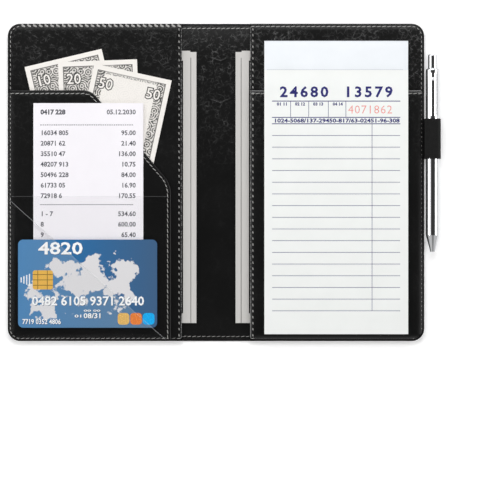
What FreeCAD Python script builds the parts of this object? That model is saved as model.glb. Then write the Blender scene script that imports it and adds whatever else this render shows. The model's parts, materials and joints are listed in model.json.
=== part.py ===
import FreeCAD, Part
import math
import os

from FreeCAD import Vector

# Check presenter: a soft-spined leather folder lying open with its inside up, loaded for use.
# Millimetres. +X points to the back cover's free edge, +Y to the head of the folder, +Z up.
# The origin is on the table, under the middle of the spine.

# Folder
book_height = 228.6
half_width = 150.0
corner_radius = 9.0

# Layers of a cover, from the table up
skin_thick = 0.8
foam_thick = 0.8
board_thick = 1.5
lining_thick = 0.8

# Turned edge of the skin, and the room left beside glued or sewn sheets
rim_width = 1.2
rim_bottom_round = 1.6
rim_top_round = 0.5
seat_clearance = 0.1

# Soft middle of the folder
lip_reach = 24.6
lip_corner_radius = 2.0
board_setback = 4.3
strip_thick = 0.8
fold_gap = 0.1
fold_rise = 0.05
closing_clearance = 1.2

# Side rails that sit in the mouths of the linings
rail_head_gap = 19.5
rail_foot_gap = 13.0
rail_width = 9.6
rail_gap = 0.9
rail_ear_length = 7.0
rail_step = 0.9
rail_step_width = 5.2
rail_groove_width = 0.5
rail_groove_depth = 0.3
rail_groove_setback = 3.8
rail_groove_head = 5.0

# Loose sheets: the air between a sheet and its neighbour, and the seams that hold a pocket
slip_gap = 0.12
seam_width = 2.6
binding_width = 2.0
binding_proud = 0.15
binding_round = 0.4

# Currency pocket of the front cover, with its slanted mouth
pocket_leather_thick = 0.8
pocket_head_gap = 48.0
currency_gap = 7.8
currency_cut_width = 57.8
currency_cut_height = 67.3
currency_head_radius = 12.0
currency_side_radius = 20.0

# Clear pockets of the front cover
vinyl_thick = 0.3
receipt_pocket_height = 104.1
receipt_pocket_gap = 0.6
card_pocket_drop = 2.4
card_pocket_toe = 1.5

# Slips in the front cover's pockets
note_width = 57.0
note_length = 130.0
note_thick = 0.12
note_head_gaps = (24.7, 26.7, 34.9)
note_place_shares = (0.33, 0.557, 0.792)
note_turns = (13.3, 2.1, -12.3)
receipt_length = 158.0
receipt_thick = 0.12
receipt_side_gap = 14.7
receipt_foot_gap = 9.4
card_width = 100.0
card_height = 63.4
card_thick = 0.76
card_corner_radius = 3.7
card_edge_gap = 3.8
card_foot_gap = 5.8
chip_width = 14.6
chip_height = 13.8
chip_depth = 0.25
chip_corner_radius = 1.8
chip_edge_gap = 10.5
chip_head_gap = 22.1

# Guest-check pad of the back cover
pad_fold_gap = 7.6
pad_edge_gap = 7.9
pad_head_gap = 13.0
pad_foot_gap = 1.2
pad_board_thick = 0.6
pad_block_thick = 4.0
pad_corner_radius = 1.0
stub_length = 20.8
stub_cover_thick = 0.25
pad_glue_thick = 0.4
check_thick = 0.12
perforation_gap = 0.2
pad_ramp_clearance = 1.5

# Elastic pen loop at the back cover's free edge
loop_thick = 0.8
loop_length = 29.0
loop_head_gap = 68.5
loop_tail = 4.0
loop_floor_gap = 0.05
loop_edge_gap = 0.1

# Retractable pen in the loop
pen_radius = 5.0
pen_fit = 0.1
pen_slack = 0.1
pen_reach = 46.2
button_radius = 3.4
button_reach = 10.0
button_length = 22.0
button_round = 0.8
button_flange_width = 0.6
button_flange_length = 2.0
collar_length = 2.5
collar_round = 1.4
upper_barrel_length = 69.5
ring_length = 2.0
lower_barrel_length = 46.0
spigot_length = 6.0
spigot_wall = 0.8
nose_length = 12.0
nose_tip_wall = 0.5
nose_clearance = 0.2
nose_spigot_wall = 0.4
nose_seat_depth = 4.0
cam_length = 5.0
refill_radius = 1.55
refill_neck_radius = 1.1
refill_neck_length = 24.0
refill_point_length = 4.0
refill_point_radius = 0.4
refill_tip_setback = 2.0
spring_wire = 0.36
spring_wire_sides = 6
spring_turns = 7
clip_width = 5.2
clip_thick = 1.7
clip_crown_radius = 3.1
clip_corner_radius = 1.3
clip_loop_gap = 1.7
clip_rise = 0.3
clip_foot = 5.0
clip_head_setback = 1.0
clip_stud_radius = 1.2
clip_stud_rise = 0.5
clip_stud_setback = 4.2
clip_groove_width = 1.0
clip_groove_depth = 0.35
clip_groove_setback = 8.5
clip_groove_round_share = 0.45
clip_end_drop = 0.2
clip_end_length = 4.0

# One overrun serves every cut, and edges are picked out to within one match
overrun = 1.0
match = 0.01

# Levels and edges that follow from the sizes above
book_top = book_height / 2
book_bottom = -book_top
foam_top = skin_thick + foam_thick
board_top = foam_top + board_thick
lining_top = board_top + lining_thick
strip_top = skin_thick + strip_thick
sheet_inset = rim_width + seat_clearance
sheet_edge = half_width - sheet_inset
sheet_top = book_top - sheet_inset
sheet_radius = corner_radius - sheet_inset
pocket_top = book_top - pocket_head_gap
seam_edge = sheet_edge - seam_width
seam_foot = -sheet_top + seam_width

note_count = len(note_turns)
note_pitch = note_thick + slip_gap
currency_bottom = lining_top + slip_gap + note_count * note_pitch
currency_top = currency_bottom + pocket_leather_thick
receipt_bottom = currency_top + binding_proud + slip_gap
receipt_pocket_bottom = receipt_bottom + receipt_thick + slip_gap
receipt_pocket_top = receipt_pocket_bottom + vinyl_thick
card_bottom = receipt_pocket_top + slip_gap
card_pocket_bottom = card_bottom + card_thick + slip_gap
card_pocket_top = card_pocket_bottom + vinyl_thick
currency_edge = lip_reach + currency_gap
receipt_pocket_edge = currency_edge + binding_width + receipt_pocket_gap
receipt_pocket_head = book_bottom + receipt_pocket_height
card_left = -seam_edge + card_edge_gap
card_foot = seam_foot + card_foot_gap

pad_board_bottom = lining_top + slip_gap
pad_board_top = pad_board_bottom + pad_board_thick
pad_pocket_bottom = pad_board_top + slip_gap
pad_pocket_top = pad_pocket_bottom + pocket_leather_thick
pad_over_pocket = pad_pocket_top + binding_proud + slip_gap
check_bottom = pad_over_pocket + pad_block_thick + slip_gap
check_top = check_bottom + check_thick
pad_left = lip_reach + seam_width + pad_fold_gap
pad_right = seam_edge - pad_edge_gap
pad_top = book_top - pad_head_gap
pad_bottom = seam_foot + pad_foot_gap
stub_line = pad_top - stub_length
stub_top = pad_board_top + pad_block_thick + stub_cover_thick

# The spine is as wide as the closed folder needs to clear what both covers carry
fold_height = strip_top + fold_rise
fold_reach = (card_pocket_top + check_top + closing_clearance) / 2 - fold_height

loop_bore = pen_radius + pen_fit
loop_radius = loop_bore + loop_thick
loop_top = book_top - loop_head_gap
loop_bottom = loop_top - loop_length
pen_x = half_width + loop_radius + loop_edge_gap
pen_z = loop_radius + loop_floor_gap

barrel_bore = button_radius + button_flange_width + pen_slack
spigot_radius = barrel_bore - pen_slack
spigot_bore = spigot_radius - spigot_wall
nose_bore = refill_neck_radius + nose_clearance
button_head = loop_top + pen_reach
collar_head = button_head - button_reach
barrel_head = collar_head - collar_length
ring_head = barrel_head - upper_barrel_length
lower_head = ring_head - ring_length
nose_head = lower_head - lower_barrel_length
nose_end = nose_head - nose_length
button_foot = button_head - button_length
cam_foot = button_foot - cam_length
refill_end = nose_end + refill_tip_setback
refill_shoulder = refill_end + refill_point_length + refill_neck_length
spring_foot = nose_head - nose_seat_depth


def block(x_low, x_high, y_low, y_high, z_low, z_high):
    """Box between two levels on each axis."""
    corner = Vector(x_low, y_low, z_low)
    return Part.makeBox(x_high - x_low, y_high - y_low, z_high - z_low, corner)


def rounded_wire(corners, height):
    """Closed wire through (x, y, corner radius) points, with a tangent arc at each rounded corner."""
    points = [Vector(x, y, height) for x, y, _ in corners]
    bends = []
    for i, (_, _, radius) in enumerate(corners):
        corner = points[i]
        to_last = (points[i - 1] - corner).normalize()
        to_next = (points[(i + 1) % len(points)] - corner).normalize()
        half_angle = to_last.getAngle(to_next) / 2
        reach = radius / math.tan(half_angle)
        inward = (to_last + to_next).normalize()
        middle = corner + inward * (radius / math.sin(half_angle) - radius)
        bends.append((corner + to_last * reach, middle, corner + to_next * reach))
    edges = []
    for i, (start, middle, end) in enumerate(bends):
        edges.append(Part.LineSegment(bends[i - 1][-1], start).toShape())
        if start != end:
            edges.append(Part.Arc(start, middle, end).toShape())
    return Part.Wire(edges)


def slab(corners, bottom, top):
    """Plate with a rounded polygon outline between two heights."""
    return Part.Face(rounded_wire(corners, bottom)).extrude(Vector(0, 0, top - bottom))


def one_solid(shape):
    """The single solid of a boolean's result, with its split faces joined up again."""
    return shape.removeSplitter().Solids[0]


def for_front(shape):
    """The front cover's copy of a back cover piece."""
    return shape.mirror(Vector(0, 0, 0), Vector(1, 0, 0))


def level_edges(shape, height):
    """Edges that lie flat at one height."""
    return [
        edge
        for edge in shape.Edges
        if abs(edge.BoundBox.ZMin - height) < match and abs(edge.BoundBox.ZMax - height) < match
    ]


def rounded(shape, radius, edges):
    """The solid with some of its edges rounded."""
    return shape.makeFillet(radius, edges).Solids[0]


def cover_outline(inner, inset, inner_radius=0):
    """Back cover outline from an inner x to the free edge, drawn in by an inset on its three outer sides."""
    edge = half_width - inset
    head = book_top - inset
    radius = corner_radius - inset
    return [
        (inner, -head, inner_radius),
        (edge, -head, radius),
        (edge, head, radius),
        (inner, head, inner_radius),
    ]


def loop_tail_room():
    """Room in the back cover's edge for the sewn-in tail of the pen loop."""
    return block(
        half_width - loop_tail - seat_clearance,
        half_width + overrun,
        loop_bottom - seat_clearance,
        loop_top + seat_clearance,
        board_top - loop_thick - seat_clearance,
        board_top,
    )


def cover_skin():
    """Outer leather of one cover: a flat sheet with its three outer edges turned up round the board."""
    inner = fold_reach + fold_gap
    skin = slab(cover_outline(inner, 0), 0, lining_top)
    for level, radius in ((0, rim_bottom_round), (lining_top, rim_top_round)):
        turned_edges = [edge for edge in level_edges(skin, level) if edge.BoundBox.XMax > inner + match]
        skin = rounded(skin, radius, turned_edges)
    hollow = slab(cover_outline(inner - overrun, rim_width), skin_thick, lining_top + overrun)
    soft_zone = block(
        inner - overrun,
        lip_reach,
        book_bottom - overrun,
        book_top + overrun,
        skin_thick,
        lining_top + overrun,
    )
    return one_solid(skin.cut(hollow).cut(soft_zone))


def cover_foam():
    """Thin foam between the skin and the board."""
    return slab(cover_outline(lip_reach + board_setback, sheet_inset), skin_thick, foam_top)


def cover_board():
    """Stiff greyboard of one cover."""
    return slab(cover_outline(lip_reach + board_setback, sheet_inset), foam_top, board_top)


def cover_lining():
    """Inner leather panel of one cover, with an open lip beside the soft spine."""
    outline = cover_outline(lip_reach, sheet_inset, lip_corner_radius)
    return slab(outline, board_top, lining_top)


def strip_lining():
    """The cover's part of the thin leather strip that lines the soft middle."""
    return block(
        fold_reach + fold_gap,
        lip_reach + board_setback - seat_clearance,
        -sheet_top,
        sheet_top,
        skin_thick,
        strip_top,
    )


def side_rail():
    """Flat rail in the lining's mouth: stepped head, a groove down its face, ears under the lip."""
    outer = lip_reach - rail_gap
    inner = outer - rail_width
    head = book_top - rail_head_gap
    foot = book_bottom + rail_foot_gap
    top = board_top - seat_clearance
    rail = block(inner, outer, foot, head, strip_top, top)
    step = block(
        inner - overrun,
        outer - rail_step_width,
        head - rail_step,
        head + overrun,
        strip_top - overrun,
        top + overrun,
    )
    groove = block(
        inner + rail_groove_setback,
        inner + rail_groove_setback + rail_groove_width,
        foot - overrun,
        head - rail_groove_head,
        top - rail_groove_depth,
        top + overrun,
    )
    rail = rail.cut(step).cut(groove)
    for ear_low in (foot, head - rail_ear_length):
        ear = block(
            outer - rail_gap,
            lip_reach + board_setback / 2,
            ear_low,
            ear_low + rail_ear_length,
            strip_top,
            top,
        )
        rail = rail.fuse(ear)
    return one_solid(rail)


def spine_sheet(head, bottom, top):
    """Flat sheet over the spine, between the two fold lines."""
    reach = fold_reach - fold_gap
    return block(-reach, reach, -head, head, bottom, top)


def sewn_pocket(outline, seams, seat, bottom, top):
    """Pocket sheet held above its seat by the seam allowances under its sewn sides."""
    pocket = slab(outline, bottom, top)
    allowance = slab(outline, seat, bottom)
    for x_low, x_high, y_low, y_high in seams:
        seam = block(x_low, x_high, y_low, y_high, seat, bottom)
        pocket = pocket.fuse(allowance.common(seam))
    return one_solid(pocket)


def currency_outline(inset, sewn_reach=0):
    """Currency pocket outline, drawn in along its free edge, pushed out by a reach along its sewn sides."""
    outer = -sheet_edge - sewn_reach
    foot = -sheet_top - sewn_reach
    side = -currency_edge
    head_x = side - currency_cut_width
    side_y = pocket_top - currency_cut_height
    slant = math.hypot(currency_cut_width, currency_cut_height)
    normal_x = -currency_cut_height / slant
    normal_y = -currency_cut_width / slant
    return [
        (outer, foot, sheet_radius),
        (side - inset, foot, 0),
        (side - inset, side_y + inset * (1 + normal_x) / normal_y, currency_side_radius - inset),
        (head_x + inset * (1 + normal_y) / normal_x, pocket_top - inset, currency_head_radius - inset),
        (outer, pocket_top - inset, 0),
    ]


def currency_pocket():
    """Leather pocket with a slanted mouth, sewn along its free edge side, foot and fold side."""
    outline = currency_outline(binding_width)
    side = -currency_edge - binding_width
    side_seam_top = pocket_top - currency_cut_height - currency_side_radius
    seams = [
        (-sheet_edge, -seam_edge, -sheet_top, pocket_top),
        (-sheet_edge, side, -sheet_top, seam_foot),
        (side - seam_width, side, -sheet_top, side_seam_top),
    ]
    return sewn_pocket(outline, seams, lining_top, currency_bottom, currency_top)


def currency_binding():
    """Rolled leather edge that follows the free edge of the currency pocket."""
    top = currency_top + binding_proud
    band = slab(currency_outline(0), currency_bottom, top)
    inside = slab(currency_outline(binding_width, overrun), currency_bottom - overrun, top + overrun)
    band = one_solid(band.cut(inside))
    return rounded(band, binding_round, level_edges(band, top))


def receipt_pocket():
    """Clear sheet over the lower half of the currency pocket, open at its straight head."""
    head = receipt_pocket_head
    side = -receipt_pocket_edge
    outline = [
        (-sheet_edge, -sheet_top, sheet_radius),
        (side, -sheet_top, 0),
        (side, head, 0),
        (-sheet_edge, head, 0),
    ]
    seams = [
        (-sheet_edge, -seam_edge, -sheet_top, head),
        (-sheet_edge, side, -sheet_top, seam_foot),
        (side - seam_width, side, -sheet_top, head),
    ]
    return sewn_pocket(outline, seams, currency_top, receipt_pocket_bottom, receipt_pocket_top)


def card_pocket():
    """Clear three-cornered sheet over the receipt pocket, open along its slanted side."""
    head = receipt_pocket_head - card_pocket_drop
    toe = -receipt_pocket_edge - card_pocket_toe
    outline = [
        (-sheet_edge, -sheet_top, sheet_radius),
        (toe, -sheet_top, 0),
        (-sheet_edge, head, 0),
    ]
    seams = [
        (-sheet_edge, -seam_edge, -sheet_top, head),
        (-sheet_edge, toe, -sheet_top, seam_foot),
    ]
    return sewn_pocket(outline, seams, receipt_pocket_top, card_pocket_bottom, card_pocket_top)


def banknote(place):
    """One loose note in the currency pocket, turned about the middle of its head."""
    bottom = lining_top + slip_gap + place * note_pitch
    pocket_width = seam_edge - currency_edge - binding_width - seam_width
    middle = -seam_edge + pocket_width * note_place_shares[place]
    head = book_top - note_head_gaps[place]
    note = block(
        middle - note_width / 2,
        middle + note_width / 2,
        head - note_length,
        head,
        bottom,
        bottom + note_thick,
    )
    note.rotate(Vector(middle, head, bottom), Vector(0, 0, 1), note_turns[place])
    return note


def receipt():
    """Till receipt behind the receipt pocket."""
    foot = seam_foot + receipt_foot_gap
    return block(
        -seam_edge + receipt_side_gap,
        -receipt_pocket_edge - seam_width - receipt_side_gap,
        foot,
        foot + receipt_length,
        receipt_bottom,
        receipt_bottom + receipt_thick,
    )


def rectangle(left, right, foot, head, radius):
    """Outline of a rectangle with four like corners."""
    return [
        (left, foot, radius),
        (right, foot, radius),
        (right, head, radius),
        (left, head, radius),
    ]


def card_chip():
    """Contact plate, flush in the face of the payment card."""
    left = card_left + chip_edge_gap
    head = card_foot + card_height - chip_head_gap
    top = card_bottom + card_thick
    outline = rectangle(left, left + chip_width, head - chip_height, head, chip_corner_radius)
    return slab(outline, top - chip_depth, top)


def payment_card():
    """Plastic card with a shallow seat for its chip."""
    right = card_left + card_width
    head = card_foot + card_height
    outline = rectangle(card_left, right, card_foot, head, card_corner_radius)
    return one_solid(slab(outline, card_bottom, card_bottom + card_thick).cut(card_chip()))


def pad_pocket_outline(head):
    """Pad pocket outline up to a head level."""
    return [
        (lip_reach, -sheet_top, lip_corner_radius),
        (sheet_edge, -sheet_top, sheet_radius),
        (sheet_edge, head, 0),
        (lip_reach, head, 0),
    ]


def pad_pocket():
    """Leather pocket of the back cover, open at its head, that takes the pad's board."""
    head = pocket_top - binding_width
    seams = [
        (lip_reach, lip_reach + seam_width, -sheet_top, head),
        (lip_reach, sheet_edge, -sheet_top, seam_foot),
        (seam_edge, sheet_edge, -sheet_top, head),
    ]
    return sewn_pocket(pad_pocket_outline(head), seams, lining_top, pad_pocket_bottom, pad_pocket_top)


def pad_pocket_binding():
    """Rolled edge along the head of the pad pocket."""
    foot = pocket_top - binding_width
    top = pad_pocket_top + binding_proud
    band = block(lip_reach, sheet_edge, foot, pocket_top, pad_pocket_bottom, top)
    return rounded(band, binding_round, level_edges(band, top))


def pad_lift(y):
    """How far the pad's sheets are lifted off its board at a level, where they ride up over the pocket."""
    ramp_end = pocket_top + pad_ramp_clearance
    share = (stub_line - y) / (stub_line - ramp_end)
    return min(max(share, 0), 1) * (pad_over_pocket - pad_board_top)


def pad_sheet(levels, base, thick):
    """Sheet or block of sheets of the pad, drawn from the side and run across its width."""
    lower = [Vector(pad_left, y, base + pad_lift(y)) for y in levels]
    upper = [point + Vector(0, 0, thick) for point in reversed(lower)]
    side = Part.Face(Part.makePolygon(lower + upper + lower[:1]))
    return side.extrude(Vector(pad_right - pad_left, 0, 0))


def pad_board():
    """Stiff back of the pad, which slides into the pad pocket."""
    outline = rectangle(pad_left, pad_right, pad_bottom, pad_top, pad_corner_radius)
    return slab(outline, pad_board_bottom, pad_board_top)


def pad_block():
    """The pad's stack of checks, bound at the stub and riding over the pocket below it."""
    levels = [pad_top, stub_line, pocket_top + pad_ramp_clearance, pad_bottom]
    return pad_sheet(levels, pad_board_top, pad_block_thick)


def stub_cover():
    """Paper strip over the bound stub."""
    bottom = pad_board_top + pad_block_thick
    return block(pad_left, pad_right, stub_line + perforation_gap, pad_top, bottom, stub_top)


def pad_glue():
    """Padding compound along the head of the pad."""
    return block(pad_left, pad_right, pad_top, pad_top + pad_glue_thick, pad_board_bottom, stub_top)


def top_check():
    """Uppermost check, which lifts and turns over at its perforation."""
    head = stub_line - perforation_gap
    levels = [head, pocket_top + pad_ramp_clearance, pad_bottom]
    return pad_sheet(levels, pad_board_top + pad_block_thick + slip_gap, check_thick)


def pen_loop():
    """Elastic loop round the pen, with a flat tail sewn into the back cover's edge."""
    centre = Vector(pen_x, loop_bottom, pen_z)
    along = Vector(0, 1, 0)
    ring = Part.makeCylinder(loop_radius, loop_length, centre, along)
    tail = block(
        half_width - loop_tail,
        pen_x - pen_radius / 2,
        loop_bottom,
        loop_top,
        board_top - loop_thick,
        board_top - seat_clearance,
    )
    bore = Part.makeCylinder(loop_bore, loop_length, centre, along)
    return one_solid(ring.fuse(tail).cut(bore))


def turned(profile):
    """Piece of the pen turned about its axis, from (radius, y) points round its half section."""
    points = [Vector(pen_x + radius, y, pen_z) for radius, y in profile]
    face = Part.Face(Part.makePolygon(points + points[:1]))
    return face.revolve(Vector(pen_x, 0, pen_z), Vector(0, 1, 0), 360).Solids[0]


def head_edge(shape, radius, head):
    """Round edge of a turned piece, of one radius, at its head."""
    return [
        edge
        for edge in shape.Edges
        if abs(edge.BoundBox.YMin - head) < match and abs(edge.BoundBox.XLength - 2 * radius) < match
    ]


def pen_button():
    """Push button with a flange that the collar holds in."""
    flange = button_radius + button_flange_width
    button = turned([
        (0, button_foot),
        (flange, button_foot),
        (flange, button_foot + button_flange_length),
        (button_radius, button_foot + button_flange_length),
        (button_radius, button_head),
        (0, button_head),
    ])
    return rounded(button, button_round, head_edge(button, button_radius, button_head))


def pen_collar():
    """Rounded ring at the head of the barrel that guides the button."""
    bore = button_radius + pen_slack
    collar = turned([
        (bore, barrel_head),
        (pen_radius, barrel_head),
        (pen_radius, collar_head),
        (bore, collar_head),
    ])
    return rounded(collar, collar_round, head_edge(collar, pen_radius, collar_head))


def pen_upper_barrel():
    """Straight upper tube of the pen."""
    return turned([
        (barrel_bore, ring_head),
        (pen_radius, ring_head),
        (pen_radius, barrel_head),
        (barrel_bore, barrel_head),
    ])


def pen_ring():
    """Trim ring between the two halves of the barrel."""
    return turned([
        (barrel_bore, lower_head),
        (pen_radius, lower_head),
        (pen_radius, ring_head),
        (barrel_bore, ring_head),
    ])


def pen_lower_barrel():
    """Straight lower tube, with a spigot that screws into the upper one."""
    spigot_head = ring_head + spigot_length
    return turned([
        (spigot_bore, nose_head),
        (pen_radius, nose_head),
        (pen_radius, lower_head),
        (spigot_radius, lower_head),
        (spigot_radius, spigot_head),
        (spigot_bore, spigot_head),
    ])


def pen_nose():
    """Cone that guides the point and seats the spring."""
    spigot = spigot_bore - pen_slack
    spigot_head = nose_head + spigot_length
    return turned([
        (nose_bore, nose_end),
        (nose_bore + nose_tip_wall, nose_end),
        (pen_radius, nose_head),
        (spigot, nose_head),
        (spigot, spigot_head),
        (spigot - nose_spigot_wall, spigot_head),
        (spigot - nose_spigot_wall, spring_foot),
        (nose_bore, spring_foot),
    ])


def pen_cam():
    """Cam that turns the button's travel into a latch, on top of the refill."""
    return turned([
        (0, cam_foot),
        (button_radius, cam_foot),
        (button_radius, button_foot),
        (0, button_foot),
    ])


def pen_refill():
    """Ink tube with a narrow neck and a point."""
    neck_foot = refill_end + refill_point_length
    return turned([
        (0, refill_end),
        (refill_point_radius, refill_end),
        (refill_neck_radius, neck_foot),
        (refill_neck_radius, refill_shoulder),
        (refill_radius, refill_shoulder),
        (refill_radius, cam_foot),
        (0, cam_foot),
    ])


def spring_point(quarter_turns, radius, rise):
    """Point on the spring's centre line, some quarter turns up from its foot."""
    angle = quarter_turns * math.pi / 2
    return Vector(
        pen_x + radius * math.cos(angle),
        spring_foot + spring_wire / 2 + pen_slack + rise * quarter_turns,
        pen_z + radius * math.sin(angle),
    )


def pen_spring():
    """Return spring between the nose's seat and the refill's shoulder, an arc to each quarter turn."""
    radius = refill_neck_radius + pen_slack + spring_wire / 2
    height = refill_shoulder - spring_foot - spring_wire - 2 * pen_slack
    quarters = 4 * spring_turns
    rise = height / quarters
    print("spring gap to itself", round(4 * rise - spring_wire, 2))
    arc_shares = (0, 0.5, 1)
    arcs = [
        Part.Arc(*(spring_point(i + share, radius, rise) for share in arc_shares)).toShape()
        for i in range(quarters)
    ]
    start = spring_point(0, radius, rise)
    wire_turns = [2 * math.pi * i / spring_wire_sides for i in range(spring_wire_sides + 1)]
    section = Part.makePolygon([
        start + Vector(math.cos(turn), math.sin(turn), 0) * (spring_wire / 2) for turn in wire_turns
    ])
    return Part.Wire(arcs).makePipeShell([section], True, True)


def clip_stud(centre):
    """Domed stud on the face of the clip, a cap of a sphere about a point on its base."""
    radius = (clip_stud_radius ** 2 + clip_stud_rise ** 2) / (2 * clip_stud_rise)
    ball = Part.makeSphere(radius, centre + Vector(0, 0, clip_stud_rise - radius))
    room = block(
        centre.x - clip_stud_radius,
        centre.x + clip_stud_radius,
        centre.y - clip_stud_radius,
        centre.y + clip_stud_radius,
        centre.z - clip_thick,
        centre.z + clip_thick,
    )
    return ball.common(room)


def pen_clip():
    """Pocket clip: a foot on the barrel, a crowned arm with a stud and a pressed groove, a turned-in end."""
    surface = pen_z + pen_radius
    under = surface + clip_rise
    top = under + clip_thick
    head = barrel_head - clip_head_setback
    end = loop_top + clip_loop_gap
    bend = end + clip_end_length
    left = pen_x - clip_width / 2
    right = pen_x + clip_width / 2
    outline = [
        (pen_z, head),
        (top + overrun, head),
        (top + overrun, end),
        (under - clip_end_drop, end),
        (under, bend),
        (under, head - clip_foot),
        (pen_z, head - clip_foot),
    ]
    points = [Vector(left, y, z) for z, y in outline]
    side = Part.Face(Part.makePolygon(points + points[:1]))
    along = Vector(0, 1, 0)
    barrel = Part.makeCylinder(pen_radius, head - end, Vector(pen_x, end, pen_z), along)
    arm = side.extrude(Vector(clip_width, 0, 0)).cut(barrel)
    plan = slab(rectangle(left, right, end, head, clip_corner_radius), pen_z, top + overrun)
    crown = Part.makeCylinder(clip_crown_radius, head - end, Vector(pen_x, end, top - clip_crown_radius), along)
    groove = slab(
        rectangle(
            pen_x - clip_groove_width / 2,
            pen_x + clip_groove_width / 2,
            bend,
            head - clip_groove_setback,
            clip_groove_width * clip_groove_round_share,
        ),
        top - clip_groove_depth,
        top + overrun,
    )
    stud = clip_stud(Vector(pen_x, head - clip_stud_setback, top))
    return one_solid(arm.common(plan).common(crown).cut(groove).fuse(stud))


def parts():
    """Every piece of the presenter under its own name."""
    front = for_front
    made = {
        "back_cover_skin": one_solid(cover_skin().cut(loop_tail_room())),
        "back_cover_foam": cover_foam(),
        "back_cover_board": one_solid(cover_board().cut(loop_tail_room())),
        "back_lining": cover_lining(),
        "back_strip_lining": strip_lining(),
        "back_side_rail": side_rail(),
        "pad_pocket": pad_pocket(),
        "pad_pocket_binding": pad_pocket_binding(),
        "pen_loop": pen_loop(),
        "spine_skin": spine_sheet(book_top, 0, skin_thick),
        "spine_strip_lining": spine_sheet(sheet_top, skin_thick, strip_top),
        "front_cover_skin": front(cover_skin()),
        "front_cover_foam": front(cover_foam()),
        "front_cover_board": front(cover_board()),
        "front_lining": front(cover_lining()),
        "front_strip_lining": front(strip_lining()),
        "front_side_rail": front(side_rail()),
        "currency_pocket": currency_pocket(),
        "currency_pocket_binding": currency_binding(),
        "receipt_pocket": receipt_pocket(),
        "card_pocket": card_pocket(),
        "receipt": receipt(),
        "payment_card": payment_card(),
        "card_chip": card_chip(),
        "pad_board": pad_board(),
        "pad_block": pad_block(),
        "pad_stub_cover": stub_cover(),
        "pad_glue_edge": pad_glue(),
        "top_check": top_check(),
        "pen_button": pen_button(),
        "pen_collar": pen_collar(),
        "pen_upper_barrel": pen_upper_barrel(),
        "pen_ring": pen_ring(),
        "pen_lower_barrel": pen_lower_barrel(),
        "pen_nose": pen_nose(),
        "pen_cam": pen_cam(),
        "pen_refill": pen_refill(),
        "pen_spring": pen_spring(),
        "pen_clip": pen_clip(),
    }
    for place, name in enumerate(("left", "middle", "right")):
        made["banknote_" + name] = banknote(place)
    return made


os.makedirs("parts", exist_ok=True)
print("fold lines at x", round(fold_reach, 3), "height", round(fold_height, 3))
for name, shape in parts().items():
    shape.exportStep(os.path.join("parts", name + ".step"))
    print(name, shape.ShapeType, "valid" if shape.isValid() else "INVALID", round(shape.Volume, 2))
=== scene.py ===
"""A check presenter on its frame: sewn leather, clear vinyl, elastic, printed paper, plastic and chrome."""

import json
import math

import bpy
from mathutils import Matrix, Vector


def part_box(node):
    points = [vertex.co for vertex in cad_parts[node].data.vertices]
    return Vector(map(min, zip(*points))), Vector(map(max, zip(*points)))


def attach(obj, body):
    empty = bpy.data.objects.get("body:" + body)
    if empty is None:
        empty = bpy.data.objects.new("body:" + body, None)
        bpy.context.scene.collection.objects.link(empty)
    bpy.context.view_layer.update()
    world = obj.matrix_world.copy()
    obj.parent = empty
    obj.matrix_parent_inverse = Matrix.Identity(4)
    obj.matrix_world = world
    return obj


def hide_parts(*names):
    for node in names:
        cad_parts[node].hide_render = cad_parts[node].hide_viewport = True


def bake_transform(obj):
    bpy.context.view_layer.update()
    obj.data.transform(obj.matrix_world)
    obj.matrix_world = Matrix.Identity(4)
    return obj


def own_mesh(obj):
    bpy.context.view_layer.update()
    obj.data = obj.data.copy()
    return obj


bl_info = {
    "name": "Check presenter",
    "version": (1, 0, 0),
    "blender": (4, 5, 0),
    "location": "View3D > Sidebar > Presenter",
    "description": "Models the soft pieces, the print and the finishes of a check presenter on its frame",
    "category": "Object",
}

MM = 0.001
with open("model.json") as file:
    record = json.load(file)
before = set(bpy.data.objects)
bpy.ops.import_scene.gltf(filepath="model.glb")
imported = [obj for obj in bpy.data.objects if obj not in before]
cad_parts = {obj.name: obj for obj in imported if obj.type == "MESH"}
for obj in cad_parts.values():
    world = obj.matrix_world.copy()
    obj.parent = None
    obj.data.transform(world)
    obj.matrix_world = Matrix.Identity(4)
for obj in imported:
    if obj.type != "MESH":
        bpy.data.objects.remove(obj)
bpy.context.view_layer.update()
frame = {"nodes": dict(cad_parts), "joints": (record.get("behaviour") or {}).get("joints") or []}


def low(name):
    """Lowest corner of a piece of the frame."""
    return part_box(name)[0]


def high(name):
    """Highest corner of a piece of the frame."""
    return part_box(name)[1]


def joint(name):
    """A joint of the frame."""
    return next(row for row in frame["joints"] if row["name"] == name)


# Levels and edges of the folder, read from the frame
EDGE = high("back_cover_skin").x
HEAD = high("back_cover_skin").y
COVER_TOP = high("back_cover_skin").z
SKIN_TOP = high("spine_skin").z
STRIP_TOP = high("spine_strip_lining").z
FOLD = joint("spine_fold")["pos_m"][0]
LIP = low("back_lining").x
SHEET_EDGE = high("back_lining").x
SHEET_HEAD = high("back_lining").y
LINING_LOW = low("back_lining").z
POCKET_HEAD = high("pad_pocket_binding").y

# Shape of the leather work
CORNER_RADIUS = 9.0 * MM
RIM_WIDTH = 1.2 * MM
RIM_BOTTOM_ROUND = 1.6 * MM
RIM_TOP_ROUND = 0.5 * MM
SHEET_RADIUS = CORNER_RADIUS - (EDGE - SHEET_EDGE)
LIP_RADIUS = 2.0 * MM
EDGE_ROUND = 0.3 * MM
FOLD_BEND = 5.5 * MM
FOLD_CUT = 1.0 * MM
SHEET_CELL = 4.0 * MM
SEAM_SLOPE = 6.0 * MM
PAD_SLOPE = 3.5 * MM
FILM_SLOPE = 5.0 * MM
FILM_CELL = 2.0 * MM
CUT_EDGE_STEPS = 96
FILM_THICK = 0.3 * MM
ARC_STEP = math.radians(9)
TOUCH = 0.001 * MM
INK = 0.012 * MM
INK_GAP = 0.012 * MM
FIGURE_SHARE = 0.7

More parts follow.
